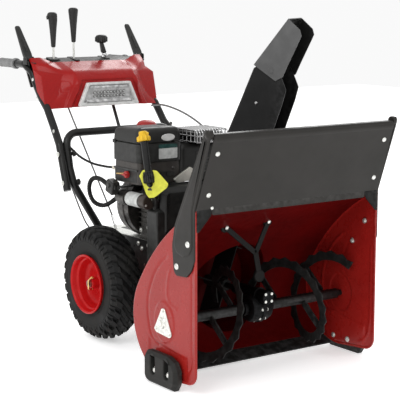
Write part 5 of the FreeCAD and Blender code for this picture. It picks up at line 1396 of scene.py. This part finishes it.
def sticks():
    """Two tall control levers with moulded grips: one flared, one with a hooked top."""
    y, pivot = 480, 905
    for name, body, node, x, low, high, hook in (("speed", "speed_lever", "speed_stick", -54, 1014, 1143, 0),
                                                 ("chute", "chute_lever", "chute_stick", -141, 997, 1127, 1)):
        height = high - low
        rings = []
        for share, wide, deep, lean in ((0.0, 6.5, 6.5, 0), (0.03, 8.4, 8, 0), (0.3, 11, 10, 0),
                                        (0.55, 14, 12, 0), (0.76, 17, 14, 0), (0.88, 19, 15, -2),
                                        (0.94, 19.4, 15, -3), (0.98, 16, 12, -3), (1.0, 9, 7, -3)):
            ring = []
            for i in range(28):
                a = 2 * math.pi * i / 28
                ring.append((x + lean * hook + wide * math.cos(a), y + deep * math.sin(a),
                             low + height * share))
            rings.append(ring)
        parts = [loft(rings)]
        if hook:
            parts.append(sweep([Vector((x - 10, y, high - 13)), Vector((x - 18, y, high - 12)),
                                Vector((x - 23, y, high - 18)), Vector((x - 23.5, y, high - 27))],
                               [8, 7, 5, 2.5], 16))
        stem = tube([(x, y, pivot), (x, y, low + 4)], 4, 1, 18)
        near, far = ((x - 9, y, pivot), (x + 9, y, pivot)) if not hook else ((x, y - 9, pivot),
                                                                             (x, y + 9, pivot))
        foot = disc(near, far, 8)
        piece(name + "_grip", joined(*parts), "black", body, [node], sharp=40)
        piece(name + "_stem", joined(stem, foot), "zinc", body, sharp=40)


def knob_lever():
    """Round black knob on a jointed bright lever."""
    x, y, pivot = 85, 496, 910
    knob = lathe([(0, 0), (0, 15), (3, 19), (8, 22), (20, 23), (26, 21), (29.5, 16), (31, 8), (31, 0)],
                 (x - 8, y, 1008), (0, 0, 1), 44)
    dents = []
    for a in [2 * math.pi * i / 18 for i in range(18)]:
        spot = (x - 8 + 22.4 * math.cos(a), y + 22.4 * math.sin(a), 1008)
        dents.append(lathe([(5, 0), (5, 2.2), (22, 2.2), (22, 0)], spot, (0, 0, 1), 8))
    piece("knob_head", joined(knob, *dents), "black", "knob_control", ["knob_lever"], sharp=40)
    link = dish(rounded([(x - 14, 1010), (x - 2, 1010), (x + 12, 972), (x + 2, 964), (x - 8, 974)], 4), "y",
                [(y - 6, 0), (y + 6, 0)])
    piece("knob_link", link, "black", "knob_control", soften=1.0, steps=2)
    stem = tube([(x, y, pivot), (x, y, 974)], 4.5, 8, 18)
    joint = lathe([(-9, 0), (-8, 5), (-4, 8.5), (4, 8.5), (8, 5), (9, 0)], (x + 6, y, 964), (0, 1, 0), 24)
    collar = lathe([(0, 0), (0, 12), (8, 9), (16, 6), (16, 0)], (x, y, 944), (0, 0, 1), 28)
    piece("knob_stem", joined(stem, joint, collar, disc((x - 9, y, pivot), (x + 9, y, pivot), 8)), "chrome",
          "knob_control", soften=0.6, steps=2)


def dash_section(share):
    """Console outline in the side view: 0 at the middle part, 1 at its ends."""
    middle = [(324, 784), (322, 872), (352, 914), (446, 944), (500, 957), (540, 950), (520, 800)]
    ends = [(350, 779), (410, 829), (449, 915), (474, 938), (496, 954), (528, 945), (470, 792)]
    return [(a[0] + (b[0] - a[0]) * share, a[1] + (b[1] - a[1]) * share) for a, b in zip(middle, ends)]


def dash_relief(x, z):
    """How far the console's pressed shapes stand out of its front, towards -Y."""
    reach = abs(x)
    slope = 91 + (900 - z) * 0.44
    raised = smooth(reach, slope + 38, slope + 32) * smooth(z, 921, 914)
    window = smooth(reach, slope + 12, slope + 8) * smooth(z, 884, 878)
    pocket = smooth(reach, 188, 192) * smooth(reach, 240, 236) * smooth(z, 826, 831) * smooth(z, 886, 880)
    notch = smooth(reach, 146, 150) * smooth(reach, 182, 178) * smooth(z, 836, 841) * smooth(z, 880, 874)
    oval = math.hypot(reach / 58, (z - 907) / 8)
    badge = smooth(oval, 1.12, 0.96)
    return 5.0 * raised - 7.0 * window - 5.0 * pocket - 2.5 * notch * (1 - raised) + 2.4 * badge


def dash_rows(share):
    """The front and top of one console section, as evenly spaced points."""
    front, shoulder, crest, rear = dash_section(share)[0], dash_section(share)[1], dash_section(share)[2], \
        dash_section(share)[3]
    line = []
    for (a, b), parts in (((front, shoulder), 46), ((shoulder, crest), 16), ((crest, rear), 16)):
        line += [(a[0] + (b[0] - a[0]) * i / parts, a[1] + (b[1] - a[1]) * i / parts) for i in range(parts)]
    line.append(rear)
    for _ in range(10):
        line = [line[0]] + [((a[0] + 2 * b[0] + c[0]) / 4, (a[1] + 2 * b[1] + c[1]) / 4)
                            for a, b, c in zip(line, line[1:], line[2:])] + [line[-1]]
    return line


def console():
    """Red console: creased front, pockets, rounded ends, and the grey tray with the levers' slots."""
    half = 244.0
    columns = [-half + 2 * half * i / 220 for i in range(221)]
    rings = []
    for x in columns:
        share = max(0.0, (abs(x) - 128) / (half - 128))
        line = dash_rows(share)
        round_end = 1 - math.sqrt(max(0.0, 1 - max(0.0, (abs(x) - half + 14) / 14) ** 2))
        ring = []
        for i, (y, z) in enumerate(line):
            tilt = smooth(i, 62, 52)
            out = dash_relief(x, z) * tilt * (1 if abs(x) < half - 4 else 0)
            pull = 9 * round_end
            hump = 22 * smooth(abs(x), 150, 214) * smooth(i, 44, 62)
            ring.append((x, y - out + pull, z + hump - pull * (0.5 if i > 56 else 0)))
        rear = [(x, line[-1][0] + 2, line[-1][1] - 6 - 5 * round_end), (x, line[0][0] + 40, line[-1][1] - 40),
                (x, line[0][0] + 12, line[0][1] + 6)]
        rings.append(ring + rear)
    piece("console_front", loft(rings), "red_deep", "chassis", ["dash_console"], sharp=60)
    tray = []
    for x in [-half + 3 + (2 * half - 6) * i / 60 for i in range(61)]:
        share = max(0.0, (abs(x) - 128) / (half - 128))
        _, _, _, lip, top, back, foot = dash_section(share)
        near = (lip[0] - 6, lip[1] - 5)
        tray.append([(x, near[0], near[1]), (x, lip[0] + 4, lip[1] + 1), (x, top[0], top[1] - 0.5),
                     (x, back[0] - 8, back[1] + 1.5), (x, back[0], back[1] - 3),
                     (x, foot[0] + 8, foot[1] + 60), (x, foot[0], foot[1] + 60),
                     (x, back[0] - 8, back[1] - 10), (x, near[0], near[1] - 6)])
    piece("console_tray", loft(tray), "black_sheet", "chassis", sharp=36)
    slots = []
    for x, wide, y0, y1 in ((-141, 22, 462, 504), (-54, 10, 446, 520), (85, 11, 460, 526)):
        outline = rounded([(x - wide, y0), (x + wide, y0), (x + wide, y1), (x - wide, y1)], 8)
        shape = dish(outline, "z", [(0, 0), (3, 0), (4, 1)])
        lifted = [(p[0], p[1], p[2] + 945.5 + (p[1] - 446) * 0.2 - max(0, p[1] - 500) * 0.3)
                  for p in shape[0]]
        slots.append((lifted, shape[1]))
    for side in SIDES:
        corners = [(side * 218, 446), (side * 243, 446), (side * 243, 512), (side * 218, 512)]
        shape = dish(rounded(corners, 6), "z", [(0, 0), (2, 0)])
        slots.append(([(p[0], p[1], p[2] + 941 + (p[1] - 446) * 0.12) for p in shape[0]], shape[1]))
    piece("console_slots", joined(*slots), "black", "chassis", sharp=36)
    ends = []
    for side in SIDES:
        ends += [dome_bolt((side * (half - 1), y, z), (side, 0, 0), 6.5) for y, z in ((456, 882), (424, 815))]
    piece("console_screws", joined(*ends), "zinc", "chassis", sharp=36)


def work_light():
    """Trapezium light: silver bezel, two slanted reflector rows of small lamps, ribbed lens."""
    outer = rounded([(-130, 786), (-92, 872), (92, 872), (130, 786)], 5)
    bezel = holed(outer, [rounded([(-112, 797), (-84, 862), (84, 862), (112, 797)], 4)], "y",
                  [(324, 0), (311.5, 0), (310, 1.5)], [(324, 0), (314, 0), (310, 2.5)])
    piece("light_bezel", bezel, "silver", "chassis", ["work_light"], sharp=34)
    back = dish(rounded([(-113, 796), (-85, 863), (85, 863), (113, 796)], 4), "y", [(323, 0), (319, 0)])
    strips = [block(-96, 96, 314.5, 320, 800, 810), block(-80, 80, 315, 320, 852, 859)]
    piece("light_reflector", joined(back, *strips), "silver_dull", "chassis", sharp=34)
    lamps = []
    for z in (836, 822):
        for i in range(10):
            x = -63 + 14 * i
            cell = rounded([(x - 5, z - 5), (x + 3, z - 5), (x + 7, z + 5), (x - 1, z + 5)], 1.5, 2)
            lamps.append(dish(cell, "y", [(320, 0), (315.5, 0), (314.5, 1)]))
    piece("light_lamps", joined(*lamps), "grey", "chassis", sharp=34)
    eyes = [lathe([(0, 0), (0, 2.6), (1.4, 2.2), (1.4, 0)], (-62 + 14 * i, 314.6, z), (0, -1, 0), 12)
            for z in (836, 822) for i in range(10)]
    piece("light_eyes", joined(*eyes), "label", "chassis", sharp=34)
    corners = [prism([(side * 122, 789), (side * 104, 789), (side * 98, 800), (side * 116, 800)], "y",
                     309.8, 313)
               for side in SIDES]
    piece("light_corners", joined(*corners), "silver", "chassis", soften=0.5, steps=2)


def cables():
    """Control cables in their sleeves, each with its pull spring."""
    routes = [[(-150, 372, 800), (-150, 350, 768), (-112, 176, 478), (-104, 132, 405)],
              [(-230, 378, 774), (-236, 345, 715), (-150, 262, 380), (-137, 240, 348)]]
    piece("clutch_lines", joined(*[sweep(soft(r), 3.0, 12) for r in routes]), "grey", "chassis",
          ["clutch_cables"], sharp=50)
    springs = []
    for start, end in (((-104, 132, 404.5), (-103, 106, 357)), ((-136.6, 239.3, 347), (-131, 209, 316))):
        start, end = Vector(start), Vector(end)
        way = end - start
        side = way.orthogonal().normalized()
        up = way.normalized().cross(side)
        turns = 12
        coil = []
        for i in range(turns * 10 + 1):
            a = 2 * math.pi * i / 10
            coil.append(start + way * (i / (turns * 10)) + (side * math.cos(a) + up * math.sin(a)) * 4.3)
        springs.append(sweep(coil, 1.1, 8))
    piece("clutch_springs", joined(*springs), "steel", "chassis", sharp=60)
    over = [(206, 342, 772), (202, 250, 784), (192, 60, 756), (176, -120, 690), (150, -255, 600),
            (150, -300, 500), (150, -325, 431), (99.5, -345, 431)]
    piece("chute_line", sweep(soft(over), 3.6, 12), "grey", "chassis", ["chute_cable"], sharp=50)
    rod = tube([(52, 392, 815), (52, 150, 357)], 6, 1, 18)
    ends = [disc((52, 386, 804), (52, 394, 819), 9), disc((52, 150, 357), (52, 158, 371), 9)]
    piece("shift_rod", joined(rod, *ends), "black_tube", "chassis", ["control_rod"], sharp=50)


def hood_brace():
    """Flat bars from the hood down to the auger's gear case, with a pad under each bolt."""
    meet = (-17, 377)
    bars = []
    for start, end, wide in ((BRACE_BOLTS[0], meet, 17), (BRACE_BOLTS[1], meet, 17), (meet, (-1, 303), 20)):
        along = Vector((end[0] - start[0], end[1] - start[1])).normalized()
        off = Vector((-along.y, along.x)) * wide / 2
        corners = [(start[0] + off.x, start[1] + off.y), (end[0] + off.x, end[1] + off.y),
                   (end[0] - off.x, end[1] - off.y), (start[0] - off.x, start[1] - off.y)]
        bars.append(dish(rounded(corners, 4), "y", [(-600, 0), (-604, 0), (-605, 1)]))
    pads = [lathe([(0, 0), (0, 17), (3, 17), (5, 15), (5, 0)], (x, -598, z), (0, -1, -0.3), 24)
            for x, z in BRACE_BOLTS]
    foot = lathe([(0, 0), (0, 20), (6, 20), (8, 18), (8, 0)], (-1, -598, 300), (0, -1, 0), 32)
    # The brace takes the darker black copy: painted shade inside the mouth.
    piece("hood_brace", joined(*bars, *pads, foot), "black_shaded", "chassis", ["gear_case_brace"], sharp=34)


def frame_details():
    """Small parts on the tractor frame: side bolts, deck edge and belly fasteners."""
    heads = []
    for side in SIDES:
        for y, z in ((-52, 333), (-115, 334), (-75, 318), (150, 332), (-180, 332), (40, 332)):
            heads.append(bolt((side * 110, y, z), (side, 0, 0), 6))
        collar = [(0, 12.7), (0, 22), (6, 21), (7, 12.7)]
        heads.append(lathe(collar, (side * 118, 0, TYRE_R), (side, 0, 0), 32))
    piece("frame_screws", joined(*heads), "zinc", "chassis", sharp=40)
    deck = holed(rounded([(-118, -215), (118, -215), (118, 200), (-118, 200)], 8),
                 [rounded([(-60, 80), (60, 80), (60, 150), (-60, 150)], 10)], "z",
                 [(352.6, 0), (354.4, 0), (354.8, 0.5)], [(352.6, 0), (354.4, 0), (354.8, 0.5)])
    piece("deck_plate", deck, "zinc", "chassis", sharp=34)


def build():
    """Every piece, then the materials of the CAD nodes that are shown as they are."""
    for side in SIDES:
        side_plate(side)
        front_flange(side)
        skid_shoe(side)
    piece("axle_plates", joined(corner_triangle(-1), corner_triangle(1)), "zinc", "chassis",
          ["bearing_plates"], sharp=36)
    piece("arm_pair", joined(side_arm(-1), side_arm(1)), "black_sheet", "chassis", ["side_arms"], sharp=32)
    front_panel()
    housing_fasteners()
    gear_case()
    hood_brace()
    wheels()
    chute()
    deflector()
    belt_cover()
    crankcase()
    carburettor_box()
    blank_labels()
    cylinder_cowl()
    fan_housing()
    fuel_tank()
    dipstick()
    hang_tag()
    starter()
    leads()
    choke()
    exhaust()
    handles()
    grips()
    clutch_levers()
    sticks()
    knob_lever()
    console()
    work_light()
    cables()
    frame_details()
    # The housing and the impeller drum take the darker red copy: painted shade for the inside of the mouth.
    dress("red_shaded", "auger_housing", "impeller_drum")
    dress("black_tube", "tractor_frame")
    # Flights, impeller and scraper bar take the darker black copy: painted shade inside the mouth.
    dress("black_shaded", "auger_flights", "impeller", "scraper_bar")
    dress("dark_steel", "auger_shaft", "impeller_shaft", "drive_chain")
    dress("steel", "crankshaft", "auger_pulley", "friction_plate", "friction_wheel", "axle")
    dress("brass", "worm_wheel")
    dress("rubber", "drive_belts")


build()
camera()
studio()
